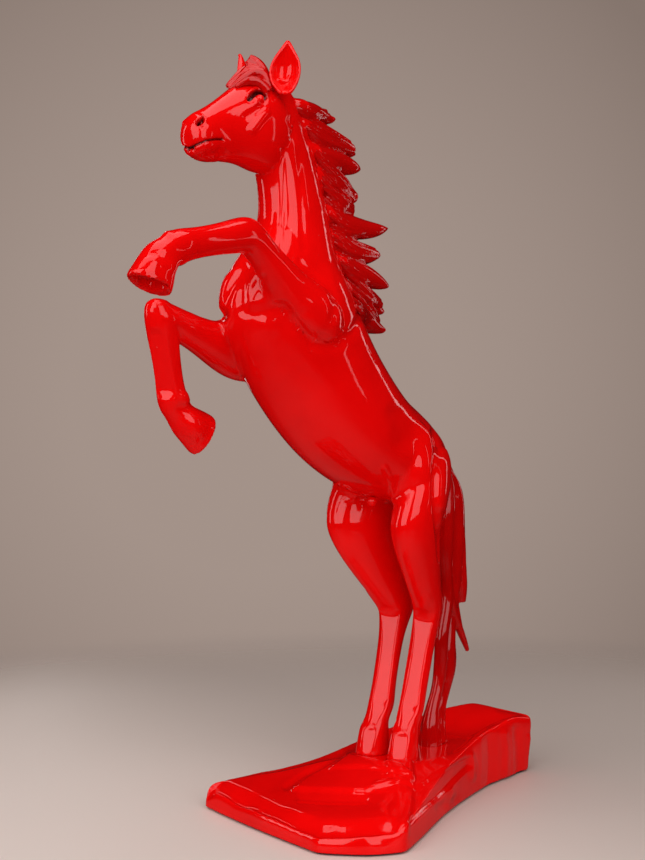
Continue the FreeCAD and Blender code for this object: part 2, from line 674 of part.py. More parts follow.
# Rock
# Outline: side and forward shares of the base's width and length, the rim's rise from front (0) to
# back (1), how far the rim leans out as a share of the width, and whether the corner is sharp
ROCK_SHARES = [
    (-0.520, 0.410, 0.02, 0.0, True),
    (-0.240, 0.452, 0.00, 0.0, False),
    (0.040, 0.480, -0.05, 0.0, False),
    (0.241, 0.498, -0.08, 0.0, True),
    (0.400, 0.432, 0.00, 0.0, False),
    (0.476, 0.351, 0.05, 0.0, True),
    (0.400, 0.210, 0.20, 0.0, False),
    (0.298, 0.048, 0.38, 0.0, False),
    (0.240, -0.090, 0.60, 0.0, False),
    (0.177, -0.252, 0.84, 0.01, False),
    (0.168, -0.390, 1.00, 0.03, False),
    (0.160, -0.500, 0.92, 0.04, True),
    (-0.150, -0.498, 1.00, 0.03, True),
    (-0.190, -0.370, 1.00, 0.0, False),
    (-0.235, -0.220, 0.80, 0.0, False),
    (-0.285, -0.050, 0.55, 0.0, False),
    (-0.310, 0.130, 0.28, 0.0, False),
    (-0.420, 0.270, 0.12, 0.0, False),
]


def rock_outline(s, inset):
    """Plan of the rock as (point on z 0, rim share, lean share), moved inward by `inset`."""
    corners = [Vector(x * s.base_width, -f * s.base_length, 0) for x, f, *_ in ROCK_SHARES]
    count = len(corners)
    turned = []
    for i, corner in enumerate(corners):
        before = (corner - corners[i - 1]).normalize()
        after = (corners[(i + 1) % count] - corner).normalize()
        half_turn = before.getAngle(after) / 2
        inward = (before + after).normalize().cross(Vector(0, 0, 1)) * -1
        turned.append((corner + inward * (inset / math.cos(half_turn)), before, after))
    plan = []
    for (corner, before, after), (_, _, rim, lean, sharp) in zip(turned, ROCK_SHARES):
        if sharp:
            plan.append((corner - before * s.corner_reach, rim, lean))
        plan.append((corner, rim, lean))
        if sharp:
            plan.append((corner + after * s.corner_reach, rim, lean))
    return plan


# The middle of the level top behind the base's middle, as a share of its length
SEAT_SETBACK_SHARE = 0.07
# Sides of the rock from foot to rim: shares inward to the middle, of the rim's height and of the lean
FLANK_SHARES = [(0.0, 0.0, 0.0), (0.0, 0.30, 0.0), (0.01, 0.75, 0.8), (0.035, 1.0, 1.0)]
# Top of the rock from rim to level seat: shares inward and of the climb to the seat
SLOPE_SHARES = [(0.22, 0.06), (0.60, 0.44), (0.92, 1.0), (1.0, 1.0)]


def rock_solid(s, inset=0.0, foot_drop=0.0):
    """The rock's outside, or its hollow when inset by its wall and run out below its foot."""
    middle = at(0, -SEAT_SETBACK_SHARE * s.base_length, 0)
    foot = s.felt_thickness - foot_drop
    seat = s.felt_thickness + s.seat_rise - inset
    rings = [[] for _ in FLANK_SHARES + SLOPE_SHARES]
    for point, rim_share, lean_share in rock_outline(s, inset):
        rise = s.base_front_rise + (s.base_back_rise - s.base_front_rise) * rim_share
        rim = s.felt_thickness + rise - inset
        toward = point - middle
        turn = math.atan2(toward.y, toward.x)
        half_x, half_y = s.seat_width / 2 - inset, s.seat_length / 2 - inset
        pad = middle + Vector(half_x * math.cos(turn), half_y * math.sin(turn), 0)
        lean = toward.normalize() * (lean_share * s.base_width)
        path = []
        for inward, climb, tilt in FLANK_SHARES:
            path.append((between(point, middle, inward) + lean * tilt, foot + (rim - foot) * climb))
        for inward, climb in SLOPE_SHARES:
            path.append((between(point, pad, inward), rim + (seat - rim) * climb))
        for poles, (spot, height) in zip(rings, path):
            poles.append(Vector(spot.x, spot.y, height))
    return net_solid(rings)


def plan_prism(s, inset, bottom, height):
    """A straight block over the rock's plan, moved inward by `inset`."""
    plan = [p for p, *_ in rock_outline(s, inset)]
    levels = [bottom + height * share for share in (0.0, 1 / 3, 2 / 3, 1.0)]
    return net_solid([[Vector(p.x, p.y, level) for p in plan] for level in levels])


# Armature
# The spine rod's turns: two along the trunk, two up the neck, as forward and up shares
SPINE_RUN_SHARE = 0.26
SPINE_SHARES = [(0.757, 0.470), (0.979, 1.050), (-0.024, 0.350), (0.075, 0.760)]
# Tail sections that its rod's turns follow, from the foot up
TAIL_ROD_SHARES = ((0.054, 0.818), (0.023, 0.682), (-0.020, 0.355), (-0.024, 0.099))
ROD_NAMES = (
    "left_leg_rod",
    "right_leg_rod",
    "tail_rod",
    "spine_rod",
    "left_foreleg_rod",
    "right_foreleg_rod",
)


def bar_middle(s):
    """The middle of the hip crossbar."""
    return FIGURE["hip"] + at(0, s.bar_forward, 0)


def rod_paths(s, left_joints, right_joints):
    """The corner points of every steel rod."""
    plate_top = s.felt_thickness + s.seat_rise - s.base_wall
    low = plate_top - s.plate_thickness - s.washer_thickness - s.nut_height - s.thread_reach
    bar = bar_middle(s)
    under_bar = bar.z - s.bar_height / 2
    sole, coronet = FIGURE["sole"], FIGURE["coronet"]
    leg = [
        Vector(sole.x, sole.y, low),
        Vector(sole.x, sole.y, coronet.z),
        FIGURE["fetlock"],
        FIGURE["hock"],
        FIGURE["stifle"],
        Vector(s.rod_spread, bar.y, under_bar - s.rod_run),
        Vector(s.rod_spread, bar.y, under_bar),
    ]
    turns = [tail_point(s, *turn_shares) for turn_shares in TAIL_ROD_SHARES]
    foot = tail_point(s, *TAIL_SHARES[13][:2])
    root = tail_point(s, *TAIL_SHARES[2][:2])
    behind_bar = bar.y + s.bar_depth / 2
    tail_rod = [Vector(0, foot.y, low), Vector(0, foot.y, foot.z), *turns, root]
    tail_rod += [Vector(0, behind_bar + s.rod_run, bar.z), Vector(0, behind_bar, bar.z)]
    before_bar = bar.y - s.bar_depth / 2
    spine = [
        Vector(0, before_bar, bar.z),
        Vector(0, before_bar - SPINE_RUN_SHARE * s.trunk_reach, bar.z),
        along_trunk(s, *SPINE_SHARES[0]),
        along_trunk(s, *SPINE_SHARES[1]),
        along_neck(s, *SPINE_SHARES[2]),
        along_neck(s, *SPINE_SHARES[3]),
    ]
    yoke = between(spine[2], spine[3], 0.5)
    paths = {"left_leg_rod": leg, "tail_rod": tail_rod, "spine_rod": spine}
    paths["right_leg_rod"] = [Vector(-p.x, p.y, p.z) for p in leg]
    for name, joints, sign in (("left", left_joints, 1), ("right", right_joints, -1)):
        face = yoke.y - s.yoke_depth / 2
        inner = Vector(sign * s.fore_rod_spread, face, yoke.z)
        paths[f"{name}_foreleg_rod"] = [
            inner,
            inner - Vector(0, s.rod_run, 0),
            between(joints["elbow"], joints["knee"], FORE_ROD_BEND_SHARE),
            joints["knee"],
            between(joints["knee"], joints["fetlock"], FORE_ROD_END_SHARE),
        ]
    return paths, yoke


def rod(s, path, thin, clearance=0.0):
    diameter = s.fore_rod_diameter if thin else s.rod_diameter
    bend = s.fore_rod_bend if thin else s.rod_bend
    return bent_rod(path, diameter + 2 * clearance, bend)


def former(s, middle, way, holes):
    """A plywood disc that fills the body's hollow across `way`, drilled for the rods."""
    way = Vector(way).normalize()
    radius = s.trunk_depth
    disc = Part.makeCylinder(radius, s.former_thickness, middle - way * (s.former_thickness / 2), way)
    inside = skin(trunk_stations(s), grow=-s.shell_wall - s.glue_gap)
    return largest(disc.common(inside).cut(holes))


# Document objects
def keep(doc, name, shape):
    """A piece made by shape functions, kept as its own document object."""
    feature = doc.addObject("Part::Feature", name)
    feature.Shape = shape
    feature.Placement = Placement()
    feature.Label = name
    return feature


def box(doc, name, width, length, height, place):
    """A box centred on `place` in plan with its foot at the height of `place`."""
    feature = doc.addObject("Part::Box", name)
    feature.setExpression("Length", f"sizes.{width}")
    feature.setExpression("Width", f"sizes.{length}")
    feature.setExpression("Height", f"sizes.{height}")
    feature.setExpression("Placement.Base.x", f"{place.x} - sizes.{width} / 2")
    feature.setExpression("Placement.Base.y", f"{place.y} - sizes.{length} / 2")
    feature.setExpression("Placement.Base.z", f"{place.z}")
    return feature


def drum(doc, name, diameter, height, place):
    """An upright cylinder; `diameter` and `height` are expressions."""
    feature = doc.addObject("Part::Cylinder", name)
    feature.setExpression("Radius", f"({diameter}) / 2")
    feature.setExpression("Height", height)
    feature.Placement = Placement(place, Rotation())
    return feature


def joined(doc, name, pieces):
    feature = doc.addObject("Part::MultiFuse", name)
    feature.Shapes = pieces
    return feature


def trimmed(doc, name, base, tool):
    feature = doc.addObject("Part::Cut", name)
    feature.Base = base
    feature.Tool = tool
    feature.Label = name
    return feature


def gathered(doc, name, pieces):
    """Several alike pieces of one kind as one node."""
    feature = doc.addObject("Part::Compound", name)
    feature.Links = pieces
    feature.Label = name
    return feature


def make_anchor(doc, s, feet):
    """The steel plate under the hooves with a washer and a nut on every rod."""
    plate_foot = s.felt_thickness + s.seat_rise - s.base_wall - s.plate_thickness
    hole = "sizes.rod_diameter + 2 * sizes.drill_clearance"
    middle_y = (min(p.y for p in feet) + max(p.y for p in feet)) / 2
    blank = box(
        doc, "plate_blank", "plate_width", "plate_length", "plate_thickness", Vector(0, middle_y, plate_foot)
    )
    drills = []
    washers = []
    nuts = []
    for number, foot in enumerate(feet, start=1):
        start = Vector(foot.x, foot.y, plate_foot - s.overrun)
        drills.append(
            drum(doc, f"plate_drill_{number}", hole, "sizes.plate_thickness + 2 * sizes.overrun", start)
        )
        washer_foot = plate_foot - s.washer_thickness
        ring_blank = drum(
            doc,
            f"washer_blank_{number}",
            "sizes.washer_diameter",
            "sizes.washer_thickness",
            Vector(foot.x, foot.y, washer_foot),
        )
        ring_drill = drum(
            doc,
            f"washer_drill_{number}",
            hole,
            "sizes.washer_thickness + 2 * sizes.overrun",
            Vector(foot.x, foot.y, washer_foot - s.overrun),
        )
        washers.append(trimmed(doc, f"washer_{number}", ring_blank, ring_drill))
        hexagon = doc.addObject("Part::Prism", f"nut_blank_{number}")
        hexagon.Polygon = 6
        hexagon.setExpression("Circumradius", "sizes.nut_across_flats / sqrt(3)")
        hexagon.setExpression("Height", "sizes.nut_height")
        nut_foot = washer_foot - s.nut_height
        hexagon.Placement = Placement(Vector(foot.x, foot.y, nut_foot), Rotation())
        nut_drill = drum(
            doc,
            f"nut_drill_{number}",
            hole,
            "sizes.nut_height + 2 * sizes.overrun",
            Vector(foot.x, foot.y, nut_foot - s.overrun),
        )
        nuts.append(trimmed(doc, f"nut_{number}", hexagon, nut_drill))
    plate = trimmed(doc, "anchor_plate", blank, joined(doc, "plate_drills", drills))
    return plate, gathered(doc, "anchor_washers", washers), gathered(doc, "anchor_nuts", nuts)


# Fixing blocks inside the rock: side and forward shares of the base's width and length
BLOCK_SHARES = [
    (-0.390, 0.335),
    (0.150, 0.380),
    (0.360, 0.325),
    (0.170, 0.000),
    (-0.200, 0.000),
    (0.000, -0.430),
]


def make_closure(doc, s):
    """Plywood board, its screws and the blocks they bite into."""
    board_foot = s.felt_thickness
    board_top = board_foot + s.board_thickness
    spots = [at(x * s.base_width, f * s.base_length, 0) for x, f in BLOCK_SHARES]
    blocks = []
    screws = []
    drills = []
    for number, spot in enumerate(spots, start=1):
        blank = box(
            doc,
            f"block_blank_{number}",
            "block_width",
            "block_length",
            "block_height",
            Vector(spot.x, spot.y, board_top),
        )
        pilot = drum(
            doc,
            f"pilot_{number}",
            "sizes.screw_diameter + 2 * sizes.drill_clearance",
            "sizes.screw_length + 2 * sizes.overrun",
            Vector(spot.x, spot.y, board_foot - s.overrun),
        )
        head = drum(
            doc,
            f"screw_head_{number}",
            "sizes.screw_head_diameter",
            "sizes.screw_head_height",
            Vector(spot.x, spot.y, board_foot),
        )
        shank = drum(
            doc,
            f"screw_shank_{number}",
            "sizes.screw_diameter",
            "sizes.screw_head_height + sizes.screw_length",
            Vector(spot.x, spot.y, board_foot),
        )
        recess = drum(
            doc,
            f"recess_{number}",
            "sizes.screw_head_diameter + 2 * sizes.drill_clearance",
            "sizes.screw_head_height + sizes.overrun",
            Vector(spot.x, spot.y, board_foot - s.overrun),
        )
        screws.append(joined(doc, f"screw_{number}", [head, shank]))
        blocks.append(trimmed(doc, f"block_{number}", blank, pilot))
        drills += [pilot, recess]
    outline = plan_prism(s, s.base_wall + s.board_clearance, board_foot, s.board_thickness)
    blank = keep(doc, "board_blank", outline)
    board = trimmed(doc, "base_board", blank, joined(doc, "board_drills", drills))
    return board, gathered(doc, "board_screws", screws), gathered(doc, "fixing_blocks", blocks)


def make_bars(doc, s, spine_hole, yoke_middle):
    """The two crossbars that tie the rods together inside the body."""
    middle = bar_middle(s)
    hip_bar = box(
        doc, "hip_crossbar", "bar_length", "bar_depth", "bar_height", middle - Vector(0, 0, s.bar_height / 2)
    )
    hip_bar.Label = "hip_crossbar"
    blank = box(
        doc,
        "yoke_blank",
        "yoke_length",
        "yoke_depth",
        "yoke_height",
        yoke_middle - Vector(0, 0, s.yoke_height / 2),
    )
    hole = doc.addObject("Part::Feature", "yoke_hole")
    hole.Shape = spine_hole
    return hip_bar, trimmed(doc, "shoulder_crossbar", blank, hole)


def rock_casting(s, feet):
    """The hollow rock, open below, with a flat for the anchor plate and holes for the rods."""
    board_top = s.felt_thickness + s.board_thickness
    roof = s.felt_thickness + s.seat_rise - s.base_wall
    inside = rock_solid(s, inset=s.base_wall, foot_drop=s.overrun)
    middle_y = (min(p.y for p in feet) + max(p.y for p in feet)) / 2
    wide = s.plate_width + 2 * s.board_clearance
    long = s.plate_length + 2 * s.board_clearance
    flat = Part.makeBox(wide, long, roof - board_top)
    flat.translate(Vector(-wide / 2, middle_y - long / 2, board_top))
    radius = s.rod_diameter / 2 + s.drill_clearance
    depth = s.base_wall + 2 * s.overrun
    holes = [Part.makeCylinder(radius, depth, Vector(p.x, p.y, roof - s.overrun)) for p in feet]
    return largest(rock_solid(s).cut([inside, flat] + holes))


def make_castings(s, channels, left_joints, right_joints):
    """Every lacquered casting, cut back from its neighbours by the bond line."""
    body_grown = skin(trunk_stations(s), grow=s.glue_gap)
    outside = skin(trunk_stations(s))
    inside = skin(trunk_stations(s)[1:], grow=-s.shell_wall)
    shell = outside.cut([inside, *channels.values()])
    reach = shell.BoundBox
    half = Part.makeBox(
        reach.XMax + s.overrun,
        reach.YLength + 2 * s.overrun,
        reach.ZLength + 2 * s.overrun,
        Vector(0, reach.YMin - s.overrun, reach.ZMin - s.overrun),
    )
    other_half = mirrored(half)
    head = head_casting(s)
    head_grown = skin(head_stations(s), grow=s.glue_gap)
    seat_cutter = Part.makeBox(2 * s.tail_width, 2 * s.tail_depth, s.seat_rise)
    foot = tail_point(s, *TAIL_SHARES[-1][:2])
    seat_cutter.translate(Vector(-s.tail_width, foot.y - s.tail_depth, s.felt_thickness))
    left_ear = ear(s)
    pieces = {
        "body_left_shell": largest(shell.common(half)),
        "body_right_shell": largest(shell.common(other_half)),
        "head_shell": largest(head.cut([body_grown, channels["spine_rod"]])),
        "left_ear": largest(left_ear.cut([head_grown, body_grown])),
        "forelock": largest(forelock_casting(s).cut([head_grown, body_grown])),
        "mane": largest(mane_casting(s).cut([body_grown, head_grown])),
        "left_hind_leg": largest(hind_leg(s).cut([body_grown, channels["left_leg_rod"]])),
        "tail": largest(tail_casting(s).cut([body_grown, channels["tail_rod"], seat_cutter])),
    }
    for name, joints in (("left_foreleg", left_joints), ("right_foreleg", right_joints)):
        pieces[name] = largest(foreleg(s, joints).cut([body_grown, channels[f"{name}_rod"]]))
    pieces["right_ear"] = mirrored(pieces["left_ear"])
    pieces["right_hind_leg"] = mirrored(pieces["left_hind_leg"])
    return pieces


def main():
    doc = FreeCAD.newDocument("rearing_horse")
    sheet = make_sheet(doc)
    s = Sizes(sheet)
    set_skeleton(s)
    left_elbow = along_trunk(s, *LEFT_ELBOW_SHARES, s.fore_spread)
    right_elbow = along_trunk(s, *RIGHT_ELBOW_SHARES, -s.fore_spread)
    left_joints = foreleg_points(s, left_elbow, s.left_foot_spread, s.left_foot_spread, LEFT_LEANS)
    right_joints = foreleg_points(s, right_elbow, -s.right_knee_spread, -s.right_foot_spread, RIGHT_LEANS)
    paths, yoke_middle = rod_paths(s, left_joints, right_joints)
    rods = {name: rod(s, paths[name], "foreleg" in name) for name in ROD_NAMES}
    channels = {name: rod(s, paths[name], "foreleg" in name, s.drill_clearance) for name in ROD_NAMES}
    feet = [paths[name][0] for name in ("left_leg_rod", "right_leg_rod", "tail_rod")]
    pieces = [keep(doc, name, shape) for name, shape in rods.items()]
    castings = make_castings(s, channels, left_joints, right_joints)
    pieces += [keep(doc, name, shape) for name, shape in castings.items()]
    pieces.append(keep(doc, "rock_base", rock_casting(s, feet)))
    stations = [station[0] for station in trunk_stations(s)]
    loin, breast, crest = stations[5:7], stations[9:11], stations[11:13]
    for name, (low, high) in {"loin_former": loin, "shoulder_former": breast, "neck_former": crest}.items():
        disc = former(s, between(low, high, 0.5), high - low, list(channels.values()))
        pieces.append(keep(doc, name, disc))
    pieces += make_anchor(doc, s, feet)
    pieces += make_closure(doc, s)
    pieces += make_bars(doc, s, channels["spine_rod"], yoke_middle)
    rear_block = at(0, BLOCK_SHARES[-1][1] * s.base_length, 0).y - s.block_length / 2
    ballast_middle = rear_block - s.ballast_clearance - s.ballast_length / 2
    ballast_place = Vector(0, ballast_middle, s.felt_thickness + s.board_thickness)
    ballast = box(doc, "ballast_block", "ballast_width", "ballast_length", "ballast_height", ballast_place)
    ballast.Label = "ballast_block"
    pieces.append(ballast)
    pieces.append(keep(doc, "felt_sheet", plan_prism(s, s.felt_inset, 0, s.felt_thickness)))
    doc.recompute()
    for item in doc.Objects:
        if any(state in ("Invalid", "Error") for state in item.State):
            raise RuntimeError(f"{item.Label} failed: {item.State}")
    os.makedirs("parts", exist_ok=True)
    for piece in pieces:
        shape = piece.Shape
        if shape.isNull() or not shape.isValid() or not shape.Solids:
            raise RuntimeError(f"{piece.Label} has no valid shape")
    for piece in pieces:
        piece.Shape.exportStep(f"parts/{piece.Label}.step")
        extent = piece.Shape.BoundBox
        sides = f"{extent.XLength:.0f} x {extent.YLength:.0f} x {extent.ZLength:.0f}"
        print(f"{piece.Label:20s} {len(piece.Shape.Solids)} solids, {piece.Shape.Volume:9.0f} mm3, {sides}")


main()
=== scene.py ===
# %% [markdown]
# This file dresses a rearing horse in red lacquer, which stands on a slab of rock. The CAD model
# is loaded first and stays where it is. Every visible piece is then built around it, in metres,
# with the horse facing along minus Y and its left side at plus X.

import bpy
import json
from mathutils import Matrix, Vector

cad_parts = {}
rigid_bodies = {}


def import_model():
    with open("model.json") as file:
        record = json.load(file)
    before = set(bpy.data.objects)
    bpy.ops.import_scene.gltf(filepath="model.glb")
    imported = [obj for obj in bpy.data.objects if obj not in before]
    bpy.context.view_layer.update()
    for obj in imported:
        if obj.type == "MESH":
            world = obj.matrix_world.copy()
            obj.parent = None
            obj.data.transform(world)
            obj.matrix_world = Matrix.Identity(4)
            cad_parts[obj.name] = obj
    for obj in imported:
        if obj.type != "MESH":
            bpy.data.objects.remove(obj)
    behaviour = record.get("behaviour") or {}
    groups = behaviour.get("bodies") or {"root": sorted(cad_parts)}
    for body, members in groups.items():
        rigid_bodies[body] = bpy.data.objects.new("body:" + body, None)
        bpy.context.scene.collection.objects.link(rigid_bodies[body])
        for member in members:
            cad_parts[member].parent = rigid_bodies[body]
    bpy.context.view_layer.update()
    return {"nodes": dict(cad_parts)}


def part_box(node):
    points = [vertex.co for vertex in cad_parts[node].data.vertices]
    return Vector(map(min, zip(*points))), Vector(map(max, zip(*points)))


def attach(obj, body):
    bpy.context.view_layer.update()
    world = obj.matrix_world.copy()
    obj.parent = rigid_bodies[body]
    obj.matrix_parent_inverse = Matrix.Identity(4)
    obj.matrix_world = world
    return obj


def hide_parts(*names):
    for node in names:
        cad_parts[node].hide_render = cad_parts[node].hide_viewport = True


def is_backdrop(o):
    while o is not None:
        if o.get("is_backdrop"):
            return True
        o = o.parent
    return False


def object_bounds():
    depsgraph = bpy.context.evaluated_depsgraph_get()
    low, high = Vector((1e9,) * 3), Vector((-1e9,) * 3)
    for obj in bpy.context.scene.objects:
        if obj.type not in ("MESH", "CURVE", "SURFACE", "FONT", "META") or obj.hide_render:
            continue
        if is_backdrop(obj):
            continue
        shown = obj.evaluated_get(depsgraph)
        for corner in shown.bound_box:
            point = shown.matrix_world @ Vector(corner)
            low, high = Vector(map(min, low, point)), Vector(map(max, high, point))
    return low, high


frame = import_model()

# %% [markdown]
# The rest of the file needs Blender itself, its vectors and ray casts, and rows of numbers.

# %% Tools of Blender that the cells use
import json
import math
from contextlib import contextmanager

import bpy
import numpy as np
from mathutils import Vector
from mathutils.bvhtree import BVHTree

# %% [markdown]
# A sculptor says where a thing is by its distance to the horse's left, forward and up. The helper
# below takes those three numbers in millimetres and gives Blender's point in metres.

# %% A place in the horse's own words
def spot(left, forward, up):
    return Vector((left, -forward, up)) / 1000


print("poll at", spot(0, 233, 860))

# %% [markdown]
# The camera stands level with the middle of the horse, 42 degrees round from its front to its
# left. A short tele lens from 1.6 metres gives the calm perspective of a studio picture. The lens
# is given for the long side of an upright picture that is 645 wide and 860 high.

# %% The camera
PICTURE_WIDE = 645
PICTURE_HIGH = 860
LENS_PIXELS = 1300
SENSOR_HIGH = 36
CAMERA_TURN = math.radians(42)
CAMERA_PLACE = (1.02714, -1.28196, 0.465)

camera_data = bpy.data.cameras.new("studio_camera")
camera_data.sensor_fit = "VERTICAL"
camera_data.sensor_height = SENSOR_HIGH
camera_data.lens = SENSOR_HIGH * LENS_PIXELS / PICTURE_HIGH
camera = bpy.data.objects.new("studio_camera", camera_data)
camera.location = CAMERA_PLACE
camera.rotation_euler = (math.radians(90), 0, CAMERA_TURN)
bpy.context.scene.collection.objects.link(camera)
bpy.context.scene.camera = camera
print("lens", round(camera_data.lens, 2))

# %% [markdown]
# The background is a warm grey studio wall without an edge. A wall would stand in the way of the
# other views, so the world itself has the colour: lightest straight behind the horse and a little
# darker to all sides. It reads only the direction that it is looked at from. The lacquer mirrors a
# dark room instead, as in a studio where only the lamps and the paper floor are lit.

# %% The studio wall
VIEW_DIRECTION = Vector((-math.sin(CAMERA_TURN), math.cos(CAMERA_TURN), 0))
TO_THE_LEFT = Vector((-math.cos(CAMERA_TURN), -math.sin(CAMERA_TURN), 0))
BRIGHTEST = VIEW_DIRECTION + TO_THE_LEFT * 0.05 + Vector((0, 0, 0.03))
WALL_LIGHT = (0.368, 0.288, 0.250, 1)
WALL_DARK = (0.235, 0.180, 0.154, 1)
ROOM_DARK = (0.004, 0.0035, 0.0035, 1)
WALL_FADE = (0.925, 0.99)


def wired(tree, kind, **values):
    """Adds a node to a tree and sets its fields, or its inputs by name."""
    node = tree.nodes.new(kind)
    for name, value in values.items():
        if name in node.inputs:
            node.inputs[name].default_value = value
        else:
            setattr(node, name, value)
    return node


def linked(tree, *joints):
    """Joins nodes: each joint is a node and its output, then a node and its input."""
    for start, start_socket, end, end_socket in joints:
        tree.links.new(start.outputs[start_socket], end.inputs[end_socket])


def ranged(tree, low, high, to_low=0.0, to_high=1.0, kind="LINEAR"):
    """A node that maps one range of values onto another."""
    node = wired(tree, "ShaderNodeMapRange", interpolation_type=kind)
    for socket, value in (("From Min", low), ("From Max", high), ("To Min", to_low), ("To Max", to_high)):
        node.inputs[socket].default_value = value
    return node


def tinted(tree, first=None, second=None):
    """A node that mixes two colours; its colours are inputs 6 and 7 and its result is output 2."""
    node = wired(tree, "ShaderNodeMix", data_type="RGBA")
    for socket, colour in ((6, first), (7, second)):
        if colour:
            node.inputs[socket].default_value = colour
    return node


def pointing(tree, direction):
    """A node that measures how far a vector points in a direction."""
    node = wired(tree, "ShaderNodeVectorMath", operation="DOT_PRODUCT")
    node.inputs[1].default_value = direction
    return node


world = bpy.data.worlds.new("studio")
world.use_nodes = True
bpy.context.scene.world = world
room = world.node_tree
room.nodes.clear()
room_place = wired(room, "ShaderNodeTexCoord")
room_path = wired(room, "ShaderNodeLightPath")
room_dot = pointing(room, BRIGHTEST.normalized())
room_fade = ranged(room, *WALL_FADE)
room_wall = tinted(room, WALL_DARK, WALL_LIGHT)
room_seen = wired(room, "ShaderNodeMath", operation="MAXIMUM")
room_shown = tinted(room, ROOM_DARK)
room_back = wired(room, "ShaderNodeBackground", Strength=1.0)
room_out = wired(room, "ShaderNodeOutputWorld")
linked(
    room,
    (room_place, "Generated", room_dot, 0),
    (room_dot, "Value", room_fade, "Value"),
    (room_fade, "Result", room_wall, 0),
    (room_path, "Is Camera Ray", room_seen, 0),
    (room_path, "Is Diffuse Ray", room_seen, 1),
    (room_seen, "Value", room_shown, 0),
    (room_wall, 2, room_shown, 7),
    (room_shown, 2, room_back, "Color"),
    (room_back, "Background", room_out, "Surface"),
)
print("wall nodes", len(room.nodes))

# %% [markdown]
# The pieces are modelled as by hand, with Blender's own operators. Those act on what is picked, so
# a few helpers pick one piece, open it for editing, add a primitive or apply a modifier.

# %% One piece at a time
def alone(piece):
    """Leaves edit mode, deselects all and then picks one piece."""
    if bpy.context.object and bpy.context.object.mode != "OBJECT":
        bpy.ops.object.mode_set(mode="OBJECT")
    bpy.ops.object.select_all(action="DESELECT")
    piece.select_set(True)
    bpy.context.view_layer.objects.active = piece


def modified(piece, kind, **settings):
    """Adds a modifier with these settings and applies it."""
    alone(piece)
    bpy.ops.object.modifier_add(type=kind)
    modifier = piece.modifiers[-1]
    for name, value in settings.items():
        setattr(modifier, name, value)
    bpy.ops.object.modifier_apply(modifier=modifier.name)


@contextmanager
def editing(piece, pick="SELECT"):
    """Opens a piece in edit mode, with all or none of it picked, and closes it again."""
    alone(piece)
    bpy.ops.object.mode_set(mode="EDIT")
    if pick:
        bpy.ops.mesh.select_all(action=pick)
    yield
    bpy.ops.object.mode_set(mode="OBJECT")


def added(primitive, **settings):
    """Adds a primitive mesh to start a piece from."""
    bpy.ops.object.select_all(action="DESELECT")
    primitive(**settings)
    return bpy.context.object


def smooth_shaded(piece):
    """Shades the whole piece smooth."""
    alone(piece)
    bpy.ops.object.shade_smooth()


# %% [markdown]
# The floor is a pale board whose rim fades out into the wall, as a rolled paper background does.
# It is a disc, so its rim looks the same from all sides. Its paper carries painted light: it is
# painted lighter near the camera and to the left, where most light falls. The lacquer mirrors only
# the part close to the rock, a painted pool of light on a floor painted dark for the mirror.

# %% The floor
FLOOR_RADIUS = 1.45
FLOOR_DROP = 0.0004
FLOOR_FADE_START = 0.70
FLOOR_ROUGHNESS = 0.55
MIRRORED_RADII = (0.30, 0.75)
PAINTED_LIGHT_RANGE = (-0.35, 0.30)
# Painted light: the paper is lighter towards the camera's left, the mirror has a pool near the rock.
FLOOR_FAR = (0.58, 0.505, 0.465, 1)
FLOOR_PAINTED_LIGHT = (0.80, 0.71, 0.66, 1)
MIRRORED_FAR = (0.012, 0.010, 0.010, 1)
MIRRORED_LIGHT_POOL = (0.20, 0.16, 0.15, 1)
PAINTED_LIGHT_SIDE = TO_THE_LEFT * 0.8 - VIEW_DIRECTION * 0.6

floor = added(bpy.ops.mesh.primitive_circle_add, vertices=96, radius=FLOOR_RADIUS, fill_type="NGON")
floor.name = "floor"
floor.location.z = -FLOOR_DROP
paper = bpy.data.materials.new("floor_paper")
paper.use_nodes = True
sheet = paper.node_tree
sheet_shader = sheet.nodes["Principled BSDF"]
sheet_shader.inputs["Roughness"].default_value = FLOOR_ROUGHNESS
sheet_path = wired(sheet, "ShaderNodeLightPath")
sheet_place = wired(sheet, "ShaderNodeTexCoord")
sheet_length = wired(sheet, "ShaderNodeVectorMath", operation="LENGTH")
sheet_side = pointing(sheet, PAINTED_LIGHT_SIDE)
sheet_lit = ranged(sheet, *PAINTED_LIGHT_RANGE, kind="SMOOTHSTEP")
sheet_painted_light = tinted(sheet, FLOOR_FAR, FLOOR_PAINTED_LIGHT)
sheet_dim = ranged(sheet, *MIRRORED_RADII, kind="SMOOTHSTEP")
sheet_mirrored = tinted(sheet, MIRRORED_LIGHT_POOL, MIRRORED_FAR)
sheet_tone = tinted(sheet)
sheet_fade = ranged(sheet, FLOOR_RADIUS, FLOOR_FADE_START, kind="SMOOTHERSTEP")
linked(
    sheet,
    (sheet_place, "Object", sheet_side, 0),
    (sheet_place, "Object", sheet_length, 0),
    (sheet_side, "Value", sheet_lit, "Value"),
    (sheet_lit, "Result", sheet_painted_light, 0),
    (sheet_length, "Value", sheet_dim, "Value"),
    (sheet_dim, "Result", sheet_mirrored, 0),
    (sheet_path, "Is Glossy Ray", sheet_tone, 0),
    (sheet_painted_light, 2, sheet_tone, 6),
    (sheet_mirrored, 2, sheet_tone, 7),
    (sheet_tone, 2, sheet_shader, "Base Color"),
    (sheet_length, "Value", sheet_fade, "Value"),
    (sheet_fade, "Result", sheet_shader, "Alpha"),
)
floor.data.materials.append(paper)
floor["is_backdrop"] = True
print("floor", FLOOR_RADIUS, "m")

# %% [markdown]
# A lacquered figure shows its lamps as sharp shapes in its skin. Two tall soft boxes stand at the
# camera's left and right, and draw the two pink bands on the neck, the patches on the thighs and
# the bands on the shins. Narrow strips at the right and behind draw the thin bright lines along the
# back. A wide box above fills the rest. Each is placed by its angle round the horse from the
# camera, where a positive angle is to the camera's left.

# %% The lamps
LAMP_CENTRE = Vector((0, -0.1, 0))
LAMP_AIM = LAMP_CENTRE + Vector((0, 0, 0.45))
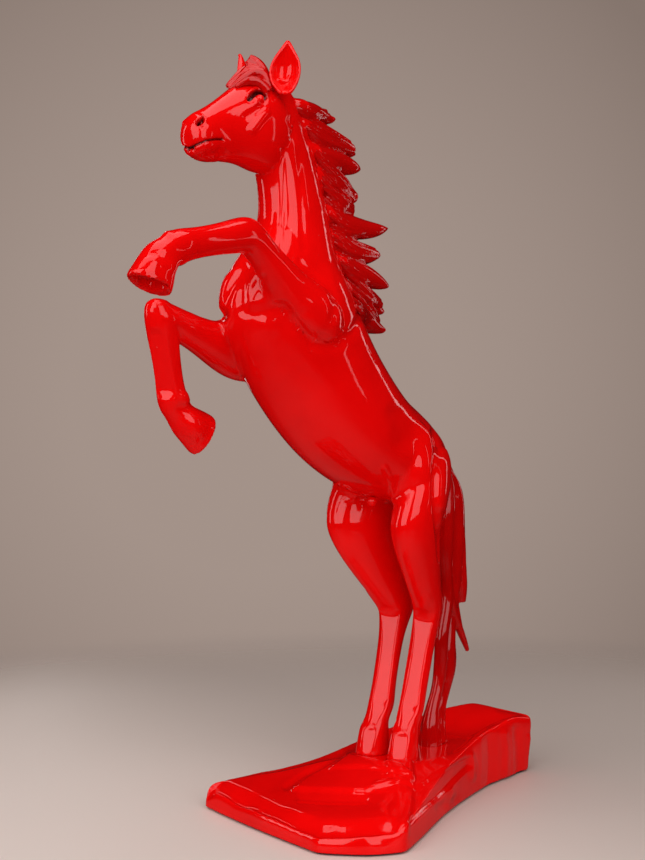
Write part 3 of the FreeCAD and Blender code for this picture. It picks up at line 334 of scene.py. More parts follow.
# Each: name, degrees round from the camera, metres away and up, width, height, brightness
LAMPS = [
    ("left_box", 36, 2.1, 1.45, 2.1, 2.5, 2.0),
    ("right_box", -30, 2.1, 1.45, 1.7, 2.5, 1.75),
    ("side_box", 96, 2.2, 1.00, 0.35, 1.5, 2.2),
    ("right_strip", -84, 2.2, 0.90, 0.10, 1.2, 1.4),
    ("rear_strip", -132, 2.0, 0.90, 0.14, 1.4, 1.6),
    ("rear_left_strip", 158, 2.0, 0.90, 0.10, 1.4, 1.8),
    ("top_box", 10, 0.3, 2.30, 1.6, 1.6, 1.5),
]
for name, turn, away, up, wide, high, brightness in LAMPS:
    angle = math.radians(turn)
    outward = TO_THE_LEFT * math.sin(angle) - VIEW_DIRECTION * math.cos(angle)
    data = bpy.data.lights.new(name, "AREA")
    data.shape = "RECTANGLE"
    data.size = wide
    data.size_y = high
    data.energy = brightness * math.pi * wide * high
    lamp = bpy.data.objects.new(name, data)
    lamp.location = LAMP_CENTRE + outward * away + Vector((0, 0, up))
    lamp.rotation_euler = (LAMP_AIM - lamp.location).to_track_quat("-Z", "Y").to_euler()
    bpy.context.scene.collection.objects.link(lamp)

# %% [markdown]
# Thick sprayed lacquer isn't perfectly flat. It has a slow wobble, a fine orange peel, and small
# nibs where dust settled while it was wet. All lacquered pieces share this, so it is one shader
# group with named inputs. It reads the place on the object and puts out a colour, a height and a
# roughness.

# %% The lacquer's surface as a group
def new_group(name, inputs, outputs):
    """A shader group with these named float or colour sockets."""
    group = bpy.data.node_groups.new(name, "ShaderNodeTree")
    for socket, kind, value in inputs:
        made = group.interface.new_socket(name=socket, in_out="INPUT", socket_type=kind)
        if value is not None:
            made.default_value = value
    for socket, kind in outputs:
        group.interface.new_socket(name=socket, in_out="OUTPUT", socket_type=kind)
    return group, group.nodes.new("NodeGroupInput"), group.nodes.new("NodeGroupOutput")


FLOAT = "NodeSocketFloat"
COLOUR = "NodeSocketColor"
VECTOR = "NodeSocketVector"
DUST_COLOUR = (0.75, 0.30, 0.28, 1)
# Painted shade: a near-black red that a painted mask lays into grooves.
PAINTED_SHADE_COLOUR = (0.045, 0.0006, 0.0006, 1)
SHEEN = (0.055, 0.30)
lacquer_skin, skin_in, skin_out = new_group(
    "lacquer_skin",
    [
        ("Place", VECTOR, None),
        ("Wobble", FLOAT, 0.5),
        ("Peel", FLOAT, 0.05),
        ("Dust", FLOAT, 0.5),
        ("Deep", COLOUR, (0.45, 0.002, 0.002, 1)),
        ("Bright", COLOUR, (0.70, 0.006, 0.004, 1)),
        ("Painted_Shade", FLOAT, 0.0),
    ],
    [("Colour", COLOUR), ("Height", FLOAT), ("Roughness", FLOAT)],
)
wobble = wired(lacquer_skin, "ShaderNodeTexNoise", Scale=14.0, Detail=2.0, Roughness=0.45)
peel = wired(lacquer_skin, "ShaderNodeTexNoise", Scale=260.0, Detail=2.0, Roughness=0.5)
nibs = wired(lacquer_skin, "ShaderNodeTexVoronoi", Scale=55.0, Randomness=1.0)
nib_mask = ranged(lacquer_skin, 0.045, 0.015, kind="SMOOTHSTEP")
nib_pick = wired(lacquer_skin, "ShaderNodeTexNoise", Scale=30.0, Detail=1.0)
nib_some = ranged(lacquer_skin, 0.52, 0.62, kind="SMOOTHSTEP")
nib_both, nib_weight, wobble_weight, peel_weight, dust_share = (
    wired(lacquer_skin, "ShaderNodeMath", operation="MULTIPLY") for step in range(5)
)
dust_share.inputs[1].default_value = 0.5
two_heights, all_heights = (wired(lacquer_skin, "ShaderNodeMath", operation="ADD") for step in range(2))
tone = wired(lacquer_skin, "ShaderNodeTexNoise", Scale=7.0, Detail=3.0, Roughness=0.55)
tone_range = ranged(lacquer_skin, 0.3, 0.6)
tone_mix = tinted(lacquer_skin)
dust_mix = tinted(lacquer_skin, second=DUST_COLOUR)
painted_shade_mix = tinted(lacquer_skin, second=PAINTED_SHADE_COLOUR)
rough_add = ranged(lacquer_skin, 0.0, 1.0, *SHEEN)
for texture in (wobble, peel, nibs, nib_pick, tone):
    linked(lacquer_skin, (skin_in, "Place", texture, "Vector"))
linked(
    lacquer_skin,
    (nibs, "Distance", nib_mask, "Value"),
    (nib_pick, "Fac", nib_some, "Value"),
    (nib_mask, "Result", nib_both, 0),
    (nib_some, "Result", nib_both, 1),
    (nib_both, "Value", nib_weight, 0),
    (skin_in, "Dust", nib_weight, 1),
    (wobble, "Fac", wobble_weight, 0),
    (skin_in, "Wobble", wobble_weight, 1),
    (peel, "Fac", peel_weight, 0),
    (skin_in, "Peel", peel_weight, 1),
    (wobble_weight, "Value", two_heights, 0),
    (peel_weight, "Value", two_heights, 1),
    (two_heights, "Value", all_heights, 0),
    (nib_weight, "Value", all_heights, 1),
    (all_heights, "Value", skin_out, "Height"),
    (tone, "Fac", tone_range, "Value"),
    (tone_range, "Result", tone_mix, 0),
    (skin_in, "Deep", tone_mix, 6),
    (skin_in, "Bright", tone_mix, 7),
    (nib_weight, "Value", dust_share, 0),
    (dust_share, "Value", dust_mix, 0),
    (tone_mix, 2, dust_mix, 6),
    (skin_in, "Painted_Shade", painted_shade_mix, 0),
    (dust_mix, 2, painted_shade_mix, 6),
    (painted_shade_mix, 2, skin_out, "Colour"),
    (nib_both, "Value", rough_add, "Value"),
    (rough_add, "Result", skin_out, "Roughness"),
)
print("lacquer group nodes", len(lacquer_skin.nodes))

# %% [markdown]
# The body, the hair and the rock each get a material from that group. They differ only in how deep
# their red is and how much dust lies on them, because the whole figure was sprayed in one go; the
# hair's darker red is painted shade among its strands. Where a piece carries a painted value, shade
# is painted into its grooves and darkens the lacquer almost to black.

# %% The lacquer on each piece
LACQUER_DEPTH = 0.0006


def group_material(name, group, settings, depth, metallic=0.0):
    """A material whose colour, bump and roughness come from a group, and its group node."""
    material = bpy.data.materials.new(name)
    material.use_nodes = True
    tree = material.node_tree
    shader = tree.nodes["Principled BSDF"]
    shader.inputs["Metallic"].default_value = metallic
    place = wired(tree, "ShaderNodeTexCoord")
    source = wired(tree, "ShaderNodeGroup", node_tree=group)
    for socket, value in settings.items():
        source.inputs[socket].default_value = value
    bump = wired(tree, "ShaderNodeBump", Strength=1.0, Distance=depth)
    linked(
        tree,
        (place, "Object", source, "Place"),
        (source, "Colour", shader, "Base Color"),
        (source, "Roughness", shader, "Roughness"),
        (source, "Height", bump, "Height"),
        (bump, "Normal", shader, "Normal"),
    )
    return material, source


def lacquer(name, deep, bright, wobble_height, peel_height, dust):
    """A glossy red lacquer with its own depth of colour."""
    settings = {"Wobble": wobble_height, "Peel": peel_height, "Dust": dust, "Deep": deep, "Bright": bright}
    material, source = group_material(name, lacquer_skin, settings, LACQUER_DEPTH)
    painted_shade_mask = wired(material.node_tree, "ShaderNodeAttribute", attribute_name="painted_shade")
    linked(material.node_tree, (painted_shade_mask, "Fac", source, "Painted_Shade"))
    return material


body_lacquer = lacquer("body_lacquer", (0.76, 0.001, 0.001, 1), (0.92, 0.002, 0.002, 1), 1.0, 0.03, 0.5)
# The hair's lacquer is the body's red painted darker, as painted shade among the strands.
shaded_hair_lacquer = lacquer("shaded_hair_lacquer", (0.44, 0.001, 0.001, 1), (0.62, 0.002, 0.002, 1), 0.5, 0.03, 0.5)
rock_lacquer = lacquer("rock_lacquer", (0.78, 0.001, 0.001, 1), (0.95, 0.002, 0.002, 1), 1.2, 0.05, 1.0)
print("lacquers", body_lacquer.name, shaded_hair_lacquer.name, rock_lacquer.name)

# %% [markdown]
# Several forms below are easiest to place as the picture shows them. The helper takes a pixel of
# the picture and a distance to the horse's left, and gives the point where the line of sight
# meets that upright plane. The other helper gives the point of a piece that the camera sees.

# %% A point by its pixel
SIGHT_RIGHT = np.array((math.cos(CAMERA_TURN), math.sin(CAMERA_TURN), 0))
SIGHT_FORWARD = np.array(VIEW_DIRECTION)
SIGHT_START = np.array(camera.location)


def sight(across, down):
    """The direction in which the camera sees a pixel."""
    right = (across - PICTURE_WIDE / 2) / LENS_PIXELS
    up = (PICTURE_HIGH / 2 - down) / LENS_PIXELS
    return SIGHT_FORWARD + SIGHT_RIGHT * right + np.array((0, 0, up))


def aimed(across, down, left):
    """The point at a distance to the left, in mm, that the camera sees at a pixel."""
    line = sight(across, down)
    return Vector(SIGHT_START + line * (left / 1000 - SIGHT_START[0]) / line[0])


def seen(piece, *pixels):
    """The points of a piece that the camera sees at these pixels."""
    tree = BVHTree.FromObject(piece, bpy.context.evaluated_depsgraph_get())
    found = []
    for across, down in pixels:
        place = tree.ray_cast(Vector(SIGHT_START), Vector(sight(across, down)))[0]
        if place is None:
            print("missed", piece.name, across, down)
        else:
            found.append(place)
    return found


print("eye", aimed(260, 97, 30))

# %% [markdown]
# The real horse was cast in several parts, then filled, sanded and lacquered until no joint
# showed. So its skin starts as a copy of all those castings, swelled by less than half a
# millimetre to close the glue gaps, joined, and remeshed into one even skin of small squares.
# The steel rods and the roots of the hair and ears go in too, because they plug their channels.
# What lies inside is deleted after.

# %% One skin from the castings
CAST_NODES = [
    "body_left_shell",
    "body_right_shell",
    "head_shell",
    "left_hind_leg",
    "right_hind_leg",
    "left_foreleg",
    "right_foreleg",
]
ROD_NODES = ["left_leg_rod", "right_leg_rod", "spine_rod", "left_foreleg_rod", "right_foreleg_rod"]
GLUE_SWELL = 0.0004
PLUG_SWELL = 0.0030
DOUBLES = 0.00001
TAIL_PLUG_END = 0.073
HAIR_PLUGS = [
    ("mane", (0, -0.152, 0.740), (0, 0.936, 0.351)),
    ("left_ear", (0, 0, 0.860), (0, 0, 1)),
    ("right_ear", (0, 0, 0.860), (0, 0, 1)),
    ("forelock", (0, 0, 0.858), (0, 0, 1)),
    ("tail", (0, 0.085, 0), (0, 1, 0)),
]
TAIL_STUMP_LOW = 0.385
SKIN_VOXEL = 0.00215


def node_copy(node, name, swell=0.0):
    """A new object from a CAD node's mesh, its doubles merged and its faces moved out."""
    piece = bpy.data.objects.new(name, frame["nodes"][node].data.copy())
    piece.data.materials.clear()
    bpy.context.scene.collection.objects.link(piece)
    with editing(piece):
        bpy.ops.mesh.remove_doubles(threshold=DOUBLES)
        if swell:
            bpy.ops.transform.shrink_fatten(value=swell)
    return piece


def joined(pieces, name):
    """Joins pieces into the first one."""
    alone(pieces[0])
    for piece in pieces[1:]:
        piece.select_set(True)
    bpy.ops.object.join()
    pieces[0].name = name
    return pieces[0]


def remeshed(piece, size):
    """Remeshes a piece into even squares of this size."""
    alone(piece)
    piece.data.remesh_voxel_size = size
    piece.data.remesh_voxel_adaptivity = 0
    bpy.ops.object.voxel_remesh()
    return piece


def rows_of(items, field):
    """A field of three numbers of many items, as rows."""
    rows = np.empty(len(items) * 3, np.float32)
    items.foreach_get(field, rows)
    return rows.reshape(-1, 3).astype(float)


def points_of(piece):
    """All of a piece's points as rows of x, y and z."""
    return rows_of(piece.data.vertices, "co")


def outer_island(piece, start):
    """Keeps only what hangs together with the point nearest to a place."""
    nearest = int(np.argmin(np.linalg.norm(points_of(piece) - np.array(start), axis=1)))
    with editing(piece, "DESELECT"):
        bpy.ops.mesh.select_mode(type="VERT")
    piece.data.vertices[nearest].select = True
    with editing(piece, None):
        bpy.ops.mesh.select_linked(delimit=set())
        bpy.ops.mesh.select_all(action="INVERT")
        bpy.ops.mesh.delete(type="VERT")


def sawn(piece, place, direction):
    """Saws off what lies beyond a plane and closes the cut."""
    with editing(piece):
        bpy.ops.mesh.bisect(plane_co=place, plane_no=direction, clear_outer=True, use_fill=True)
    return piece


castings = [node_copy(node, "cast_" + node, GLUE_SWELL) for node in CAST_NODES]
plugs = [node_copy(node, "plug_" + node, PLUG_SWELL) for node in ROD_NODES]
plugs.append(sawn(node_copy("tail_rod", "plug_tail_rod", PLUG_SWELL), (0, TAIL_PLUG_END, 0), (0, 1, 0)))
for node, place, direction in HAIR_PLUGS:
    plugs.append(sawn(node_copy(node, "plug_" + node, GLUE_SWELL), place, direction))
sawn(plugs[-1], (0, 0, TAIL_STUMP_LOW), (0, 0, -1))
print("castings", len(castings), "plugs", len(plugs))

# %% [markdown]
# The crown between the ears is open in the castings and hidden by hair, so a ball of filler closes
# it. Two egg shapes stand out a little from the flanks as the muscles of the haunches.

# %% The skin around them
FLANK = spot(67, 100, 520)
CROWN = spot(0, 216, 834)
CROWN_RADIUS = 0.0175
HAUNCH_PIXEL = (414, 466)
HAUNCH_SIZE = (0.031, 0.035, 0.056)
HAUNCH_DEPTH = 0.033
HAUNCH_PROUD = 0.005

skin = joined(castings + plugs, "horse_skin")
ball = bpy.ops.mesh.primitive_ico_sphere_add
skin = joined([skin, added(ball, subdivisions=4, radius=CROWN_RADIUS, location=CROWN)], "horse_skin")
haunch = seen(skin, HAUNCH_PIXEL)[0] + VIEW_DIRECTION * (HAUNCH_DEPTH - HAUNCH_PROUD)
for side in (1, -1):
    egg = added(ball, subdivisions=5, radius=1.0, location=haunch * Vector((side, 1, 1)), scale=HAUNCH_SIZE)
    skin = joined([skin, egg], "horse_skin")
remeshed(skin, SKIN_VOXEL)
print("haunch", [round(v, 4) for v in haunch], "skin", len(skin.data.polygons), "faces")

# %% [markdown]
# The rods run on below the soles into the rock, so the skin is sawn off where it meets the rock's
# top. Loose bits inside are deleted.

# %% Cut at the soles and keep the outside only
SOLE_HEIGHT = 0.0575

outer_island(skin, FLANK)
sawn(skin, (0, 0, SOLE_HEIGHT), (0, 0, -1))
smooth_shaded(skin)
print("outside", len(skin.data.polygons), "faces")

# %% [markdown]
# The squares still show the steps of the remesh, and the joints are sharp folds. Smoothing that
# goes out again after each step in evens the skin without making the legs thinner. Where limbs
# join the trunk, a painted weight lets more smoothing in, as filler would.

# %% Even the skin
EASING_ROUNDS = 8
WEIGHT_STEPS = 10


def eased(piece, rounds):
    """Smooths a piece in turns of in and out, which keeps its volume."""
    for turn in range(rounds):
        modified(piece, "SMOOTH", factor=0.5, iterations=2)
        modified(piece, "SMOOTH", factor=-0.5, iterations=1)


def near_path(points, path):
    """Each point's distance to a line through the path's places."""
    best = np.full(len(points), 1e9)
    spots = [np.array(place) for place in path]
    if len(spots) == 1:
        return np.linalg.norm(points - spots[0], axis=1)
    for start, end in zip(spots, spots[1:]):
        along = end - start
        share = np.clip((points - start) @ along / max(along @ along, 1e-12), 0, 1)
        best = np.minimum(best, np.linalg.norm(points - start - share[:, None] * along, axis=1))
    return best


def filled(piece, path, reach, rounds, factor):
    """Smooths a piece near a path, as filler does in a joint."""
    distance = near_path(points_of(piece), path)
    group = piece.vertex_groups.new(name="filler")
    weights = np.clip(1 - distance / reach, 0, 1) ** 0.5
    for step in range(1, WEIGHT_STEPS + 1):
        members = (weights > (step - 1) / WEIGHT_STEPS) & (weights <= step / WEIGHT_STEPS)
        group.add([int(i) for i in np.nonzero(members)[0]], step / WEIGHT_STEPS, "REPLACE")
    modified(piece, "SMOOTH", factor=factor, iterations=rounds, vertex_group="filler")
    piece.vertex_groups.remove(piece.vertex_groups["filler"])


eased(skin, EASING_ROUNDS)
low, high = points_of(skin).min(axis=0), points_of(skin).max(axis=0)
print("skin box", low.round(3), high.round(3))

# %% [markdown]
# Every piece that shows gets its lacquer, rides on the model's one body and hides the castings it
# stands for. One helper does this for all of them.

# %% A finished piece
def finished(piece, material, slot, *nodes):
    """Gives a piece its material and ties it to the model."""
    piece.data.materials.clear()
    piece.data.materials.append(material)
    if nodes:
        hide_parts(*nodes)
    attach(piece, "root")
    print(piece.name, len(piece.data.polygons), "faces")


print("finisher ready")

# %% [markdown]
# The muscles, folds and edges are carved next. A sculptor would draw them on the clay first, and
# so they are drawn here: each stroke is a line over the picture, with its reach in pixels and how
# far it moves the skin in millimetres, where a minus goes in. A stroke moves only the skin that
# faces the camera there, and the same stroke is made on the horse's other side. It may be kept to
# a range of distances to the left, so that it doesn't reach a form behind.

# %% Strokes over the skin
EVERYWHERE = (-400, 400)
GRAZING = 0.15
GRAZING_SHARE = 0.3


def normals_of(piece):
    """All of a piece's point normals as rows."""
    return rows_of(piece.data.vertex_normals, "vector")


def placed(piece, points):
    """Moves a piece's points to these rows."""
    piece.data.vertices.foreach_set("co", points.astype(np.float32).ravel())
    piece.data.update()


def pixels_of(points):
    """Where the camera sees each point, and how far away it is."""
    away = points - SIGHT_START
    depth = away @ SIGHT_FORWARD
    across = away @ SIGHT_RIGHT / depth * LENS_PIXELS + PICTURE_WIDE / 2
    down = PICTURE_HIGH / 2 - away[:, 2] / depth * LENS_PIXELS
    return np.stack((across, down), axis=1), depth


def inside(pixels, outline):
    """Which pixels lie inside a closed outline."""
    hit = np.zeros(len(pixels), bool)
    for (ax, ay), (bx, by) in zip(outline, outline[1:] + outline[:1]):
        spans = (ay > pixels[:, 1]) != (by > pixels[:, 1])
        cross = ax + (pixels[:, 1] - ay) / (by - ay + 1e-9) * (bx - ax)
        hit ^= spans & (pixels[:, 0] < cross)
    return hit


def stroke_sum(piece, strokes, sides):
    """The sum of strokes at each point. Each: shape, path, reach, push, and its range to the left."""
    points = points_of(piece)
    normals = normals_of(piece)
    moves = np.zeros(len(points))
    for side in sides:
        turned = points * (side, 1, 1)
        turned_normals = normals * (side, 1, 1)
        pixels, depth = pixels_of(turned)
        line = (turned - SIGHT_START) / np.linalg.norm(turned - SIGHT_START, axis=1)[:, None]
        front = np.clip(-(turned_normals * line).sum(axis=1) / GRAZING + GRAZING_SHARE, 0, 1)
        left = turned[:, 0] * 1000
        for shape, path, reach, push, *span in strokes:
            low, high = span or EVERYWHERE
            ok = (left > low) & (left < high)
            near = np.zeros(len(points))
            box = np.array(path)
            ok &= (pixels > box.min(axis=0) - reach).all(axis=1)
            ok &= (pixels < box.max(axis=0) + reach).all(axis=1)
            picked = np.nonzero(ok)[0]
            if shape == "fill":
                ring = list(path) + [path[0]]
                distance = near_path(pixels[picked], ring)
                signed = np.where(inside(pixels[picked], list(path)), distance, -distance)
                share = np.clip(signed / reach + 0.5, 0, 1)
                near[picked] = share * share * (3 - 2 * share)
            else:
                distance = near_path(pixels[picked], path)
                share = np.clip(1 - distance / reach, 0, 1)
                near[picked] = share if shape == "edge" else share * share * (3 - 2 * share)
            moves += near * front * push
    return moves


def carved(piece, strokes, sides=(1, -1), upward=False):
    """Moves a piece's skin by strokes whose push is in mm."""
    moves = stroke_sum(piece, strokes, sides) / 1000
    aim = np.array((0, 0, 1)) if upward else normals_of(piece)
    placed(piece, points_of(piece) + aim * moves[:, None])


def painted_shade(piece, strokes, sides=(1, -1)):
    """Paints shade into grooves, by strokes whose push is a share."""
    share = np.clip(stroke_sum(piece, strokes, sides), 0, 1)
    mask = piece.data.attributes.new("painted_shade", "FLOAT", "POINT")
    mask.data.foreach_set("value", share.astype(np.float32))


# %% [markdown]
# Filler goes into the folds where the limbs and the neck join the trunk, before any carving.

# %% Joints softened with filler
# Each: its line by pixel, its reach in metres, its rounds and its strength
JOINT_FILLERS = [
    ([(257, 224), (280, 244), (298, 262), (316, 279), (330, 294)], 0.010, 12, 0.5),
    ([(256, 268), (270, 290), (284, 310), (300, 328), (316, 343), (334, 338)], 0.012, 16, 0.5),
    ([(340, 334), (352, 316), (350, 296), (342, 276)], 0.016, 20, 0.5),
    ([(330, 260), (326, 275), (322, 290)], 0.030, 20, 0.7),
    ([(236, 324), (243, 345), (246, 364)], 0.010, 10, 0.5),
    ([(430, 432), (410, 434), (396, 452), (388, 476), (392, 500)], 0.030, 50, 0.8),
    ([(432, 430), (436, 450), (440, 470)], 0.016, 20, 0.5),
    ([(354, 334), (372, 362), (389, 390), (403, 412), (415, 430), (428, 444)], 0.024, 40, 0.7),
    ([(156, 250), (168, 256), (178, 262)], 0.016, 10, 0.5),
    ([(336, 486), (348, 490), (362, 494)], 0.026, 40, 0.7),
]


def all_filled(piece, fillers):
    """Fills several joints, one after the other."""
    for pixels, reach, rounds, factor in fillers:
        filled(piece, seen(piece, *pixels), reach, rounds, factor)


all_filled(skin, JOINT_FILLERS)
for side in (1, -1):
    breast = [place * Vector((side, 1, 1)) for place in seen(skin, (250, 276), (246, 300), (262, 300))]
    filled(skin, breast, 0.036, 40, 0.8)
all_filled(skin, [([(234, 284), (224, 300), (224, 314)], 0.032, 40, 0.8)])
print("joints filled")

# %% [markdown]
# The breast, the shoulder's muscle and the forearm come first. The two long folds down the breast
# are on one side only, as the turned neck draws them. A little filler then rounds the strokes.

# %% Chest, shoulder and forearm
CHEST_STROKES = [
    ("fill", [(247, 268), (262, 272), (271, 284), (276, 300), (262, 309), (244, 309), (242, 292)],
     14, 3.2, 4, 90),
    ("soft", [(246, 312), (262, 313), (277, 307), (285, 310)], 8, -2.4, 2, 90),
    ("soft", [(268, 326)], 16, 1.6, 2, 90),
    ("fill", [(316, 286), (330, 276), (342, 282), (349, 296), (350, 312), (345, 324), (334, 330),
              (322, 322), (314, 304)], 34, 6.0, 20, 140),
    ("soft", [(350, 276), (358, 290), (361, 304), (359, 320), (352, 332), (341, 340)], 7, -3.4, 20, 140),
    ("soft", [(300, 262), (316, 279), (328, 292), (331, 306), (329, 320)], 6, -1.6, 20, 140),
    ("soft", [(316, 328), (310, 320)], 11, 2.0, 20, 140),
    ("soft", [(283, 306), (299, 326), (312, 344), (328, 347), (340, 343)], 8, -3.0, 20, 140),
]
carved(skin, CHEST_STROKES)
BREAST_STROKES = [
    ("soft", [(245, 266), (237, 279), (229, 290), (224, 302), (222, 317)], 7, -3.4, -60, 90),
    ("soft", [(249, 270), (243, 284), (241, 299), (243, 311)], 7, -3.4, -60, 90),
    ("soft", [(264, 277), (254, 286), (247, 297)], 5, -1.4, 2, 90),
]
carved(skin, BREAST_STROKES, sides=(1,))
CHEST_FILLERS = [
    ([(246, 276), (232, 300), (256, 300)], 0.036, 12, 0.6),
    ([(250, 312), (266, 313), (282, 312)], 0.016, 16, 0.6),
    ([(330, 348), (341, 342), (352, 334), (358, 318)], 0.012, 12, 0.6),
]
all_filled(skin, CHEST_FILLERS)
modified(skin, "SMOOTH", factor=0.5, iterations=2)
print("chest carved")

# %% [markdown]
# Next come two cords of the neck, the flank's hollow and the thigh with its long rear groove.

# %% Neck, barrel, flank and thigh
TRUNK_STROKES = [
    ("soft", [(283, 150), (283, 200), (281, 250)], 4, -1.2, -40, 90),
    ("soft", [(300, 150), (301, 200), (304, 250)], 6, -0.8, -40, 90),
    ("soft", [(398, 414), (403, 428), (404, 440)], 17, -3.6, 10, 120),
    ("fill", [(388, 470), (400, 452), (416, 440), (430, 438), (436, 456), (434, 492), (424, 516), (404, 514),
              (394, 500)], 26, 2.0, 10, 120),
    ("soft", [(434, 430), (436, 451), (434, 464), (434, 498), (438, 530), (441, 560)], 5, -3.4, 0, 120),
    ("soft", [(443, 462), (443, 485), (441, 505)], 9, 3.0, 0, 120),
    ("soft", [(385, 468), (392, 482), (395, 502)], 5, 2.0, 10, 120),
    ("soft", [(426, 600), (421, 612)], 8, 1.5, 0, 80),
]
carved(skin, TRUNK_STROKES)
TRUNK_FILLERS = [
    ([(336, 485), (345, 487), (354, 490), (366, 493), (380, 494)], 0.014, 30, 0.7),
    ([(436, 432), (440, 446), (442, 458)], 0.018, 30, 0.7),
]
all_filled(skin, TRUNK_FILLERS)
print("trunk carved")

# %% [markdown]
# Below the hocks and at the hooves the figure was filed flat, so each shin shows a straight band
# of light with crisp edges. A flat file is a limit: skin that stands further out than a plane
# along the bone is moved back onto it.

# %% Filed flats
def filed(piece, start, end, towards, start_reach, end_reach, radius):
    """Files a flat along a bone from start to end, facing one way, at these distances from it."""
    points = points_of(piece)
    begin, finish, face = np.array(start), np.array(end), np.array(towards)
    bone = finish - begin
    face = face - bone * (face @ bone) / (bone @ bone)
    face /= np.linalg.norm(face)
    share = (points - begin) @ bone / (bone @ bone)
    foot = begin + np.clip(share, 0, 1)[:, None] * bone
    away = points - foot
    height = away @ face
    limit = (start_reach + (end_reach - start_reach) * np.clip(share, 0, 1)) / 1000
    near = (np.abs(share - 0.5) < 0.52) & (np.linalg.norm(away, axis=1) < radius / 1000)
    ends = np.clip(np.minimum(share, 1 - share) / 0.12 + 0.3, 0, 1)
    back = np.where(near & (height > limit), (height - limit) * ends, 0)
    placed(piece, points - face * back[:, None])
    print("filed", int((back > 0).sum()), "points")


def towards_camera(turn):
    """A level direction turned from the camera, in degrees to its left."""
    angle = math.radians(turn)
    return -SIGHT_FORWARD * math.cos(angle) - SIGHT_RIGHT * math.sin(angle)


for side in (1, -1):
    hock, fetlock = spot(26 * side, -29, 232), spot(24 * side, 4, 114)
    coronet, sole = spot(24 * side, 16, 90), spot(24 * side, 20, 60)
    face = towards_camera(15)
    filed(skin, hock, fetlock, face, 15, 12, 40)
    filed(skin, fetlock, coronet, face, 13, 15, 40)
    filed(skin, coronet, sole, face, 16, 20, 45)

# %% [markdown]
# The raised fore legs are worked one by one, because each is bent in its own way. The near hoof
# gets its wall and its hollow sole, the far one its folded knee and fetlock.

# %% Fore legs and their hooves
right_knee, right_fetlock = spot(-44, 352, 580), spot(-64, 322, 508)
filed(skin, right_knee, right_fetlock, towards_camera(16), 13, 10.5, 36)
HOOF_STROKES = [
    ("fill", [(143, 257.5), (156, 256), (158, 262), (156, 275), (146, 272.5), (130, 273), (136, 265)],
     3, 0.8, 20, 90),
    ("soft", [(144, 254.5), (155, 253), (166, 257)], 4, -1.2, 20, 90),
    ("soft", [(180, 262), (176, 266)], 9, 2.4, 20, 90),
    ("fill", [(128, 279), (136, 277), (150, 278.5), (163, 282), (168, 286), (162, 289.5), (148, 290),
              (135, 286)], 3.2, -12.0, 20, 90),
    ("soft", [(163, 232), (170, 234)], 6, 1.6, 20, 90),
]
carved(skin, HOOF_STROKES, sides=(1,))
all_filled(skin, [([(152, 244), (164, 247), (176, 252), (180, 260)], 0.020, 16, 0.7)])
RIGHT_FORE_STROKES = [
    ("soft", [(157, 303), (164, 303)], 9, 2.0, -120, -20),
    ("soft", [(184, 396), (186, 402)], 7, 3.6, -120, -20),
    ("soft", [(180, 409), (190, 405)], 6, -2.0, -120, -20),
    ("soft", [(194, 423), (196, 430)], 16, 5.0, -120, -20),
    ("soft", [(205, 440), (209, 432)], 8, -1.6, -120, -20),
]
carved(skin, RIGHT_FORE_STROKES, sides=(1,))
all_filled(skin, [([(186, 405), (194, 420), (200, 432)], 0.016, 10, 0.6)])

# %% [markdown]
# The skin is now cut into the head, the body and the four lower legs, so that each piece can be
# worked on and stays light. The cuts are rings through the slim places. Each piece gets a lid on
# its cut, and takes the shading of the uncut skin there, so the lacquer runs across.

# %% Rings through the slim places
SKIN_CUTS = [
    ("head", spot(0, 224, 796), (0, -0.92, 0.39), 85),
    ("left_fore", spot(50, 292, 654), (0, -0.78, 0.62), 42),
    ("right_fore", spot(-47, 306, 574), (0, -0.95, 0.30), 42),
    ("left_hind", spot(34, -5, 288), (0, 0.35, -0.9), 44),
    ("right_hind", spot(-34, -5, 288), (0, 0.35, -0.9), 44),
]


def ring_cut(piece, place, direction, radius):
    """Cuts the faces within a radius of a place by a plane and opens the ring."""
    with editing(piece, "DESELECT"):
        bpy.ops.mesh.select_mode(type="VERT")
    near = np.linalg.norm(points_of(piece) - np.array(place), axis=1) < radius / 1000
    piece.data.vertices.foreach_set("select", near)
    with editing(piece, None):
        bpy.ops.mesh.select_mode(type="FACE")
        bpy.ops.mesh.bisect(plane_co=place, plane_no=direction)
        bpy.ops.mesh.select_mode(type="EDGE")
        bpy.ops.mesh.edge_split(type="EDGE")


whole_skin = skin.copy()
whole_skin.data = skin.data.copy()
whole_skin.name = "whole_skin"
bpy.context.scene.collection.objects.link(whole_skin)
for _, place, direction, radius in SKIN_CUTS:
    ring_cut(skin, place, direction, radius)


def taken_apart(piece, kind):
    """Separates a piece and gives its parts, the largest first."""
    with editing(piece, "SELECT" if kind == "LOOSE" else None):
        bpy.ops.mesh.separate(type=kind)
    return sorted(bpy.context.selected_objects, key=lambda o: -len(o.data.polygons))


parts = taken_apart(skin, "LOOSE")
print("parts", [(o.name, len(o.data.polygons)) for o in parts])

# %% [markdown]
# The largest part is the body, and the others are told apart by where their middle is. The head
# is divided once more before it gets its lid, because its carving is the finest.

# %% Names and lids of the parts
HEAD_LOW = 760
FORE_LOW = 380
SEAM_HALF = 0.0035
PART_NODES = {
    "head": ["head_shell"],
    "left_fore": ["left_foreleg"],
    "right_fore": ["right_foreleg"],
    "left_hind": ["left_hind_leg"],
    "right_hind": ["right_hind_leg"],
}


def part_name(part):
    """Which part of the horse a piece of skin is, by its middle."""
    middle = points_of(part).mean(axis=0) * 1000
    if middle[2] > HEAD_LOW:
        return "head"
    side = "left" if middle[0] > 0 else "right"
    return side + ("_fore" if middle[2] > FORE_LOW else "_hind")


def lidded(part):
    """Closes the open rings of a part."""
    with editing(part):
        bpy.ops.mesh.fill_holes(sides=0)


